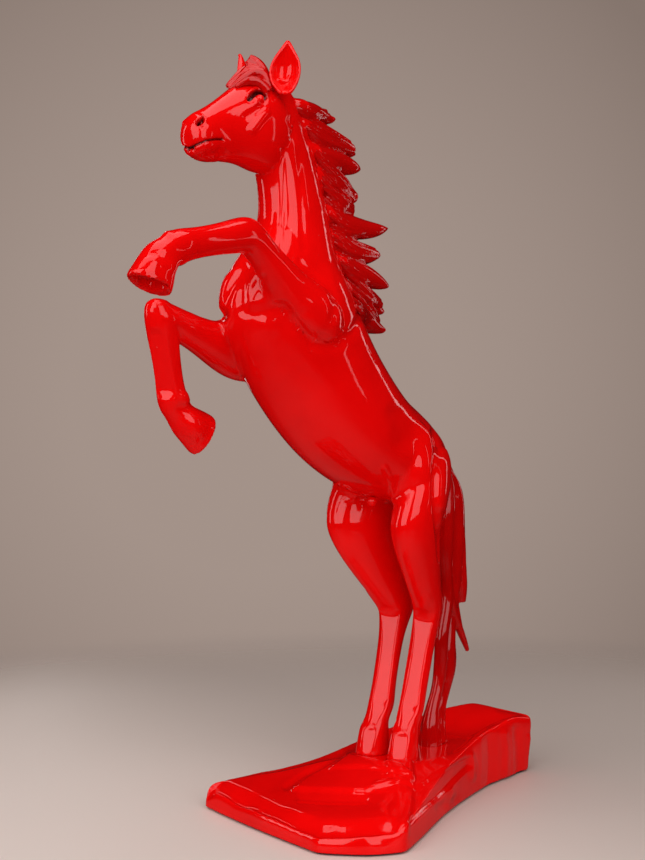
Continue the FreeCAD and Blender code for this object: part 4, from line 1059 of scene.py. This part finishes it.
def seam_shaded(part):
    """Takes the whole skin's shading near the cuts."""
    points = points_of(part)
    near = np.zeros(len(points), bool)
    for _, place, direction, radius in SKIN_CUTS:
        level = np.array(direction) / np.linalg.norm(direction)
        flat = np.abs((points - np.array(place)) @ level) < SEAM_HALF
        near |= flat & (np.linalg.norm(points - np.array(place), axis=1) < radius / 1000)
    group = part.vertex_groups.new(name="seam")
    group.add([int(i) for i in np.nonzero(near)[0]], 1.0, "REPLACE")
    modified(
        part,
        "DATA_TRANSFER",
        object=whole_skin,
        use_loop_data=True,
        data_types_loops={"CUSTOM_NORMAL"},
        loop_mapping="POLYINTERP_NEAREST",
        vertex_group="seam",
    )
    part.vertex_groups.remove(part.vertex_groups["seam"])


horse_parts = {"body": parts[0]}
horse_parts.update({part_name(part): part for part in parts[1:]})
modified(horse_parts["head"], "SUBSURF", levels=1, render_levels=1)
for name, part in horse_parts.items():
    part.name = "horse_" + name
    lidded(part)
print({name: len(part.data.polygons) for name, part in horse_parts.items()})

# %% [markdown]
# Now the eyes, the nostrils and the mouth are cut, and shade is painted into them. The eyes are small
# balls behind the lids. A small knob sits under the belly, between the thighs.

# %% Eyes, nostrils and mouth
head = horse_parts["head"]
LID = [(249, 98.8), (252, 94.8), (257, 91.8), (262, 92.8), (265.5, 97)]
NOSTRIL = [(195.6, 123.2), (197.4, 120.8), (200.8, 119.2), (203.2, 116.2), (204.6, 118.6), (203.6, 122.2),
           (200.6, 125), (197.2, 125.4)]
MOUTH = [(186.4, 151), (191, 147.6), (197.4, 144.6), (206.5, 140.8), (216.4, 139.3), (223, 139.4)]
HEAD_STROKES = [
    ("soft", [(252, 98), (258, 96), (264, 98)], 7.5, -2.2, 5, 60),
    ("edge", LID, 2.2, -3.6, 5, 60),
    ("soft", [(248, 94), (252, 90), (257, 87.4), (263, 88.8), (267, 93)], 3.4, 1.6, 5, 60),
    ("soft", [(264, 103), (256, 110), (246, 117)], 6, -1.4, 5, 60),
    ("soft", [(266, 113), (259, 121), (252, 130)], 7, 1.8, 5, 60),
    ("soft", [(200.4, 120.8)], 8.5, 2.2, 2, 60),
    ("fill", NOSTRIL, 1.8, -11.0, 2, 60),
    ("edge", MOUTH, 2.4, -2.8, -6, 60),
    ("soft", [(191, 154), (203, 149), (216, 146)], 6, 0.8, -6, 60),
    ("soft", [(220, 158), (224, 153)], 7, -1.4, -6, 60),
    ("soft", [(290, 120), (293, 128), (294, 135), (292, 150), (286, 161), (277, 169)], 5, -1.8, 5, 70),
]
# Painted shade in the grooves of the lids, the nostrils and the mouth.
PAINTED_SHADE_STROKES = [
    ("edge", LID, 3.0, 1.7, 5, 60),
    ("fill", NOSTRIL, 1.6, 1.3, 2, 60),
    ("edge", MOUTH, 1.7, 1.2, -6, 60),
]
painted_shade(head, PAINTED_SHADE_STROKES)
carved(head, HEAD_STROKES)
KNOB_PIXEL = (372, 501.2)
KNOB_LEFT = 3
KNOB_RADIUS = 0.0062
EYE_RADIUS = 0.0050
EYE_DEPTH = 0.0030
EYE_PIXEL = (259.8, 99.2)
eye_line = Vector(sight(*EYE_PIXEL)).normalized()
eye_place = seen(head, EYE_PIXEL)[0] + eye_line * EYE_DEPTH
globe = bpy.ops.mesh.primitive_uv_sphere_add
for side in (1, -1):
    place = eye_place * Vector((side, 1, 1))
    eye = added(globe, segments=32, ring_count=16, radius=EYE_RADIUS, location=place)
    joined([head, eye], "horse_head")
knob_place = aimed(*KNOB_PIXEL, KNOB_LEFT)
knob = added(globe, segments=32, ring_count=16, radius=KNOB_RADIUS, location=knob_place)
joined([horse_parts["body"], knob], "horse_body")
print("head carved, eye at", [round(v, 4) for v in eye_place])

# %% [markdown]
# Every part is shaded smooth but for folds sharper than the angle below, and takes the whole
# skin's shading along its cut.

# %% Each part takes its place
SHARP_FOLD = math.radians(60)

for name, part in horse_parts.items():
    smooth_shaded(part)
    alone(part)
    bpy.ops.object.shade_smooth_by_angle(angle=SHARP_FOLD)
    seam_shaded(part)
    nodes = PART_NODES.get(name, ["body_left_shell", "body_right_shell"])
    finished(part, body_lacquer, "lacquer", *nodes)
bpy.data.objects.remove(whole_skin)

# %% [markdown]
# The mane is a row of thick locks that start along the crest of the neck, sweep down and then
# fly out behind. On the real piece each lock is combed into fine strands with a modelling tool.
# Here each strand is a tapered tube along a smooth curve, all strands of a lock meet at its tip,
# and a remesh melts them together, so the grooves stay and no gap opens.

# %% Strands as tapered curves
def strand(curve, places, widths):
    """One tapered strand through a curve's control points, its widths in mm."""
    line = curve.splines.new("NURBS")
    line.points.add(len(places) - 1)
    for point, place, width in zip(line.points, places, widths):
        point.co = (*place, 1)
        point.radius = width / 2000
    line.order_u = 3
    line.use_endpoint_u = True


def new_strands(name):
    """A curve object whose strands have round sections."""
    curve = bpy.data.curves.new(name, "CURVE")
    curve.dimensions = "3D"
    curve.bevel_depth = 1.0
    curve.bevel_resolution = 2
    curve.resolution_u = 6
    curve.use_fill_caps = True
    piece = bpy.data.objects.new(name, curve)
    bpy.context.scene.collection.objects.link(piece)
    return piece


def between(start, end, share):
    """A point part of the way between two."""
    return tuple(a + (b - a) * share for a, b in zip(start, end))


def mirrored(place):
    """The same place on the horse's other side."""
    return Vector((-place[0], place[1], place[2]))


def melted(pieces, name, size, rounds):
    """Makes meshes of pieces, joins them and remeshes them into one closed skin."""
    for piece in pieces:
        if piece.type == "CURVE":
            alone(piece)
            bpy.ops.object.convert(target="MESH")
    whole = remeshed(joined(pieces, name), size)
    for turn in range(rounds):
        modified(whole, "SMOOTH", factor=0.5, iterations=1)
    smooth_shaded(whole)
    return whole


# %% [markdown]
# The strands of a lock are spread between its upper and its lower edge, and the ones in its middle
# lie higher. The other side of the neck has the same locks. The CAD mane, a little shrunken, lies
# under them all.

# %% The mane's locks
# Each lock: its root's upper and lower end, its belly's upper and lower edge, its tip and its
# tip's other edge, all by pixel, then its number of strands and their width in mm
MANE_LOCKS = [
    ((295, 104), (299, 113), (311, 110), (309, 120), (330, 112), (327, 123), 4, 6.6),
    ((299, 110), (310, 136), (326, 129), (320, 149), (356, 147), (351, 154), 6, 7.6),
    ((310, 134), (315, 152), (334, 161), (327, 170), (355, 170), (350, 173), 4, 7.0),
    ((314, 150), (320, 174), (343, 178), (332, 190), (355, 197), (350, 200), 5, 7.2),
    ((319, 172), (326, 200), (347, 198), (337, 211), (354, 210), (350, 216), 5, 7.2),
    ((325, 196), (332, 232), (350, 223), (348, 237), (385, 228), (380, 231), 5, 7.0),
    ((329, 222), (337, 254), (353, 243), (351, 261), (380, 252), (376, 260), 6, 7.0),
    ((334, 246), (346, 274), (360, 268), (360, 283), (383, 280), (377, 286), 5, 7.0),
    ((340, 262), (354, 292), (368, 290), (367, 302), (383, 304), (379, 308), 5, 6.6),
    ((348, 280), (361, 314), (372, 308), (364, 322), (380, 325), (373, 331), 5, 7.0),
]
MANE_ROOT_LEFT = 25
MANE_BELLY_LEFT = 17
MANE_TIP_LEFT = 5
MANE_WIDTHS = (0.55, 0.95, 1.25, 1.2, 0.95)
MANE_VOXEL = 0.0015

neck_tree = BVHTree.FromObject(horse_parts["body"], bpy.context.evaluated_depsgraph_get())


def root_on_neck(across, down):
    """Where the neck's side is seen at a pixel, or a little in front of it."""
    for back in range(0, 24, 2):
        place = neck_tree.ray_cast(Vector(SIGHT_START), Vector(sight(across - back, down)))[0]
        if place is not None and place.x > 0.012:
            return place
    return aimed(across, down, MANE_ROOT_LEFT)


mane_strands = new_strands("mane_strands")
for root_high, root_low, belly_high, belly_low, tip_high, tip_low, count, width in MANE_LOCKS:
    middle_tip = between(tip_high, tip_low, 0.5)
    for number in range(count):
        share = number / (count - 1)
        root = between(root_high, root_low, share)
        belly = between(belly_high, belly_low, share)
        tip = between(between(tip_high, tip_low, share), belly, 0.22 * abs(2 * share - 1) ** 2)
        lift = 4.2 * math.sin(math.pi * share) + (0.9 if number % 2 else -0.5)
        start = root_on_neck(*root)
        side = start.x * 1000
        places = [
            start - Vector((0.0022, 0, 0)),
            aimed(*between(root, belly, 0.35), side - 1 + lift * 0.5),
            aimed(*belly, MANE_BELLY_LEFT + lift),
            aimed(*between(belly, tip, 0.6), MANE_TIP_LEFT + 5 + lift * 0.5),
            aimed(*tip, MANE_TIP_LEFT),
        ]
        widths = [width * share_of_width for share_of_width in MANE_WIDTHS]
        strand(mane_strands.data, places, widths)
        strand(mane_strands.data, [mirrored(place) for place in places], widths)
mane_core = node_copy("mane", "mane_core", -0.0012)
mane = melted([mane_strands, mane_core], "mane_locks", MANE_VOXEL, 3)
finished(mane, shaded_hair_lacquer, "lacquer", "mane")

# %% [markdown]
# The tail hangs from the dock, swings back and comes down to the rock, where it carries part of
# the weight. Its strands are broad and flat. Two loose locks leave it: a long one along its back
# and a short pointed one above the hock's height.

# %% The tail's locks
# Each strand: its control points by pixel and distance to the left, then its widths in mm
TAIL_STRANDS = [
    [(440, 466, 4, 20), (446, 482, 6, 24), (446, 510, 8, 24), (445, 545, 8, 20), (447, 580, 8, 15),
     (447, 605, 8, 17), (441.5, 635, 8, 18), (441, 660, 7, 19), (438, 686, 6, 16), (433, 705, 6, 17),
     (430, 722, 5, 24), (430, 740, 5, 30), (430, 757, 5, 34)],
    [(444, 466, -2, 18), (451, 484, 0, 22), (452, 515, 0, 20), (450, 550, 0, 16), (448, 580, 2, 14),
     (451, 605, 2, 14), (449, 635, 2, 15), (450.5, 662, 3, 19), (445, 686, 3, 17), (440, 705, 3, 16),
     (438, 722, 2, 20), (438, 740, 2, 24), (438, 756, 2, 26)],
    [(440, 470, -8, 18), (447, 490, -10, 22), (447, 540, -10, 20), (446, 590, -10, 17),
     (443, 630, -9, 18), (443, 660, -9, 19), (439, 690, -7, 17), (433, 715, -6, 18), (431, 740, -6, 24),
     (431, 756, -6, 26)],
    [(445, 470, 4, 16), (455, 484, 6, 17), (458.5, 505, 6, 17), (460, 530, 5, 14), (461, 550, 5, 12.5),
     (461.5, 572, 4, 15), (461.5, 590, 3, 17), (461, 602, 2, 13)],
    [(445, 470, -6, 14), (455, 486, -8, 15), (458, 508, -8, 15), (460, 535, -7, 13), (461, 560, -6, 12),
     (462, 587, -4, 15), (461.5, 601, -2, 12)],
    [(448, 568, 7, 10), (449, 592, 9, 13), (453, 612, 7, 13), (459, 628, 5, 11.5), (464.5, 642, 3, 9),
     (467.5, 650.5, 2, 6)],
]


def hair_piece(name, node, strands, shrink, size, rounds):
    """A piece of hair from strands melted with the node's own shrunken form."""
    hair = new_strands(node + "_strands")
    for run in strands:
        strand(hair.data, [aimed(u, v, left) for u, v, left, _ in run], [point[3] for point in run])
    core = node_copy(node, node + "_core", -shrink)
    finished(melted([hair, core], name, size, rounds), shaded_hair_lacquer, "lacquer", node)


hair_piece("tail_locks", "tail", TAIL_STRANDS, 0.0025, 0.0018, 6)

# %% [markdown]
# Each ear is a leaf that opens towards the front. It starts as a flat grid, which is shaped row
# by row into a hollow leaf, gets a wall, and is rounded by a subdivision surface.

# %% The ears
# Rows of the left ear from root to tip: height by pixel, left and right edge, and hollow in mm
EAR_ROWS = [
    (95, 281, 289, 2),
    (91, 278.5, 291.5, 5),
    (86, 275.5, 293.5, 9),
    (79, 273.4, 295.5, 12),
    (71, 273, 296.6, 12),
    (63, 274.6, 296.6, 11),
    (56, 277.5, 295, 8),
    (49, 281.5, 292.5, 5),
    (43, 285, 290.5, 2.5),
    (39.5, 287, 288.5, 0.5),
]
EAR_LEFT = 38
EAR_WALL = 0.0042
EAR_HOLLOW = 1.4 / 1000
EAR_COLUMNS = 8


def ear_leaf(name, side):
    """One ear as a hollow leaf."""
    rows = len(EAR_ROWS) - 1
    leaf = added(bpy.ops.mesh.primitive_grid_add, x_subdivisions=EAR_COLUMNS, y_subdivisions=rows, size=2)
    leaf.name = name
    for point in leaf.data.vertices:
        across, up = point.co.x, point.co.y
        down, left_edge, right_edge, hollow = EAR_ROWS[round((up + 1) / 2 * rows)]
        pixel = (left_edge + right_edge) / 2 + (right_edge - left_edge) / 2 * across
        place = aimed(pixel, down, EAR_LEFT)
        middle = aimed((left_edge + right_edge) / 2, down, EAR_LEFT)
        right = SIGHT_RIGHT * (place - middle).length * (1 if across > 0 else -1)
        back = SIGHT_FORWARD * hollow * EAR_HOLLOW * (1 - abs(across) ** 3)
        point.co = np.array(middle) + right + back
        if side < 0:
            point.co.x = -point.co.x
    modified(leaf, "SOLIDIFY", thickness=EAR_WALL, offset=1.0 if side > 0 else -1.0)
    modified(leaf, "SUBSURF", levels=3, render_levels=3)
    smooth_shaded(leaf)
    return leaf


for side, name, node in ((1, "ear_left_leaf", "left_ear"), (-1, "ear_right_leaf", "right_ear")):
    finished(ear_leaf(name, side), body_lacquer, "lacquer", node)

# %% [markdown]
# The forelock is a tuft that stands up between the ears and falls forward over the forehead in
# flat strands. It is made as the tail is.

# %% The forelock
FORELOCK_STRANDS = [
    [(272, 92, 16, 20), (264, 80, 12, 22), (254, 73, 6, 20), (248, 70, 2, 14), (240, 79, -2, 9)],
    [(264, 92, -4, 20), (258, 80, -4, 22), (250, 73, -5, 18), (242, 77, -7, 11), (234, 83, -8, 6)],
    [(268, 92, 26, 12), (262, 84, 22, 12), (252, 80, 18, 11), (243, 82, 12, 8), (236, 87, 8, 5)],
    [(268, 88, 14, 14), (263, 72, 10, 16), (254, 61, 4, 14), (249, 57.5, 1, 8)],
    [(262, 90, 6, 14), (257, 74, 4, 17), (250, 64, 0, 13), (247.5, 60, -1, 7)],
    [(270, 90, 20, 12), (266, 77, 16, 14), (257, 71, 12, 12), (246, 76, 8, 9), (235, 84, 3, 6),
     (229, 89, 0, 4.5)],
    [(266, 86, 14, 12), (260, 74, 10, 12), (249, 73, 6, 10), (238, 80, 2, 7), (228, 87, -2, 5)],
    [(262, 82, 6, 11), (254, 71, 4, 11), (245, 73, 1, 9), (235, 80, -4, 7), (227, 86.5, -6, 5)],
    [(268, 92, 22, 9), (263, 83, 19, 10), (253, 81, 15, 9), (243, 84, 9, 7), (235, 89, 5, 4.5)],
    [(256, 80, -8, 12), (251, 68, -10, 12), (243, 71, -12, 10), (234, 79, -14, 7), (228, 85, -14, 5)],
]
hair_piece("forelock_tuft", "forelock", FORELOCK_STRANDS, 0.0015, 0.0010, 2)

# %% [markdown]
# The rock is a casting of a real slab: a low tongue in front, a raised pad with a broken step under
# the hooves, and a thick block behind with split walls. Its skin starts from the CAD casting and is
# carved by strokes as the horse was, upwards on its top and outwards on its walls. It never leaves
# the casting's box.

# %% The rock
ROCK_VOXEL = 0.0025

rock = remeshed(node_copy("rock_base", "rock_slab"), ROCK_VOXEL)
smooth_shaded(rock)
ROCK_TOP_STROKES = [
    ("soft", [(207, 792), (216, 784), (232, 793), (251, 801), (275, 811), (297, 821), (320, 830), (345, 830),
              (368, 828), (392, 826)], 10, -7.5),
    ("fill", [(293, 790), (307, 779), (322, 771), (346, 757), (372, 762), (400, 768), (414, 778),
              (412, 786), (396, 785), (378, 789), (366, 793), (330, 792), (302, 791)], 3.2, 4.2),
    ("fill", [(330, 772), (350, 757), (380, 762), (412, 757), (414, 780), (402, 779), (388, 775),
              (366, 771)], 3.0, 2.6),
    ("edge", [(300, 798), (330, 800), (365, 800)], 6, -2.4),
    ("soft", [(286, 787), (304, 775), (320, 767), (342, 754)], 5, -2.2),
    ("soft", [(376, 789), (392, 786), (406, 788)], 6, 2.0),
    ("soft", [(228, 792), (262, 777)], 18, 1.4),
    ("soft", [(238, 800), (282, 803)], 12, -1.6),
    ("soft", [(251, 803), (256, 805)], 7, 1.4),
    ("soft", [(300, 814), (345, 818), (385, 812)], 14, 1.6),
    ("soft", [(372, 838), (388, 842)], 9, -2.0),
    ("soft", [(398, 838), (402, 834)], 6, 1.6),
    ("soft", [(468, 727), (498, 721)], 14, -2.4),
    ("soft", [(508, 726), (514, 725)], 7, 2.0),
    ("soft", [(500, 706), (516, 708), (530, 714)], 8, -2.6),
]
carved(rock, ROCK_TOP_STROKES, sides=(1,), upward=True)
ROCK_WALL_STROKES = [
    ("fill", [(414, 789), (440, 771), (470, 757), (471, 766), (456, 780), (440, 797), (424, 811),
              (410, 824)], 3.5, -3.6),
    ("fill", [(386, 760), (412, 758), (413, 778), (402, 780), (388, 775)], 2.6, 2.0),
    ("edge", [(471, 756), (473, 766), (472, 778)], 5, 2.6),
    ("soft", [(517, 730), (518, 745), (519, 774)], 7, -2.6),
    ("edge", [(489, 738), (490, 760), (489, 782)], 8, -2.6),
    ("edge", [(505, 733), (507, 752), (506, 774)], 5, 2.0),
    ("edge", [(530, 738), (531, 764)], 5, 2.0),
    ("soft", [(440, 808), (455, 800)], 7, -2.0),
    ("edge", [(452, 792), (449, 806)], 5, 1.8),
    ("soft", [(412, 800), (407, 818), (406, 834)], 5, 1.6),
]
carved(rock, ROCK_WALL_STROKES, sides=(1,))
rock_low, rock_high = (np.array(corner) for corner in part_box("rock_base"))
placed(rock, np.clip(points_of(rock), rock_low, rock_high))
modified(rock, "SMOOTH", factor=0.4, iterations=1)
placed(rock, np.clip(points_of(rock), rock_low, rock_high))
finished(rock, rock_lacquer, "lacquer", "rock_base")

# %% [markdown]
# What lies inside the castings keeps the CAD model's own meshes. Each gets a real surface too: drawn
# steel for the rods, dull zinc for the plate and its screws, plies of birch for the wood, sand-cast
# iron for the ballast and pressed fibres for the felt. One group draws a grain that is stretched
# along one direction, with bands of ply where they are wanted.

# %% The grain of the hidden pieces as a group
grain, grain_in, grain_out = new_group(
    "grain",
    [
        ("Place", VECTOR, None),
        ("Stretch", VECTOR, (1, 1, 1)),
        ("Scale", FLOAT, 50.0),
        ("Bands", FLOAT, 0.0),
        ("Band Weight", FLOAT, 0.0),
        ("Dark", COLOUR, (0.2, 0.2, 0.2, 1)),
        ("Light", COLOUR, (0.4, 0.4, 0.4, 1)),
        ("Smooth", FLOAT, 0.3),
        ("Rough", FLOAT, 0.6),
    ],
    [("Colour", COLOUR), ("Height", FLOAT), ("Roughness", FLOAT)],
)
grain_turn = wired(grain, "ShaderNodeMapping")
grain_noise = wired(grain, "ShaderNodeTexNoise", Detail=6.0, Roughness=0.6)
grain_bands = wired(grain, "ShaderNodeTexWave", bands_direction="Z", Distortion=0.6)
grain_mix = wired(grain, "ShaderNodeMix", data_type="FLOAT")
grain_range = ranged(grain, 0.3, 0.7)
grain_tint = tinted(grain)
grain_rough = ranged(grain, 0.0, 1.0)
linked(
    grain,
    (grain_in, "Place", grain_turn, "Vector"),
    (grain_in, "Stretch", grain_turn, "Scale"),
    (grain_turn, "Vector", grain_noise, "Vector"),
    (grain_in, "Scale", grain_noise, "Scale"),
    (grain_in, "Place", grain_bands, "Vector"),
    (grain_in, "Bands", grain_bands, "Scale"),
    (grain_noise, "Fac", grain_range, "Value"),
    (grain_in, "Band Weight", grain_mix, 0),
    (grain_range, "Result", grain_mix, 2),
    (grain_bands, "Fac", grain_mix, 3),
    (grain_mix, 0, grain_tint, 0),
    (grain_in, "Dark", grain_tint, 6),
    (grain_in, "Light", grain_tint, 7),
    (grain_tint, 2, grain_out, "Colour"),
    (grain_mix, 0, grain_rough, "Value"),
    (grain_in, "Smooth", grain_rough, "To Min"),
    (grain_in, "Rough", grain_rough, "To Max"),
    (grain_rough, "Result", grain_out, "Roughness"),
    (grain_mix, 0, grain_out, "Height"),
)
print("grain nodes", len(grain.nodes))

# %% [markdown]
# Each material covers several nodes and has its own colours, stretch and roughness.

# %% The hidden pieces' materials
# Each: name, metallic, bump in m, the group's inputs, and the nodes that it covers
HIDDEN_LOOKS = [
    ("drawn_steel", 1.0, 0.0001,
     {"Stretch": (1, 1, 0.06), "Scale": 420.0, "Dark": (0.30, 0.30, 0.31, 1), "Light": (0.52, 0.52, 0.53, 1),
      "Smooth": 0.28, "Rough": 0.48},
     ["left_leg_rod", "right_leg_rod", "tail_rod", "spine_rod", "left_foreleg_rod", "right_foreleg_rod",
      "hip_crossbar", "shoulder_crossbar"]),
    ("dull_zinc", 1.0, 0.0001,
     {"Scale": 90.0, "Dark": (0.42, 0.43, 0.45, 1), "Light": (0.64, 0.65, 0.67, 1), "Smooth": 0.34,
      "Rough": 0.55},
     ["anchor_plate", "anchor_washers", "anchor_nuts", "board_screws"]),
    ("birch_plies", 0.0, 0.0002,
     {"Stretch": (1, 0.08, 1), "Scale": 160.0, "Bands": 110.0, "Band Weight": 0.35,
      "Dark": (0.42, 0.27, 0.14, 1), "Light": (0.68, 0.50, 0.31, 1), "Smooth": 0.55, "Rough": 0.75},
     ["loin_former", "shoulder_former", "neck_former", "base_board", "fixing_blocks"]),
    ("sand_cast_iron", 0.6, 0.0006,
     {"Scale": 260.0, "Dark": (0.035, 0.034, 0.033, 1), "Light": (0.10, 0.095, 0.09, 1), "Smooth": 0.55,
      "Rough": 0.80},
     ["ballast_block"]),
    ("pressed_felt", 0.0, 0.0008,
     {"Stretch": (1, 1, 0.4), "Scale": 700.0, "Dark": (0.020, 0.018, 0.018, 1),
      "Light": (0.065, 0.058, 0.056, 1), "Smooth": 0.9, "Rough": 1.0},
     ["felt_sheet"]),
]
for name, metallic, depth, settings, covered in HIDDEN_LOOKS:
    material = group_material(name, grain, settings, depth, metallic)[0]
    for node in covered:
        slots = frame["nodes"][node].data.materials
        slots.clear()
        slots.append(material)
    print(name, len(covered), "nodes")

# %% [markdown]
# The picture keeps Blender's plain colours, so what is written here is what shows.

# %% The look of the picture and the sizes
bpy.context.scene.view_settings.view_transform = "Standard"
low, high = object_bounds()
print("visual box", [round(v, 3) for v in low], [round(v, 3) for v in high])
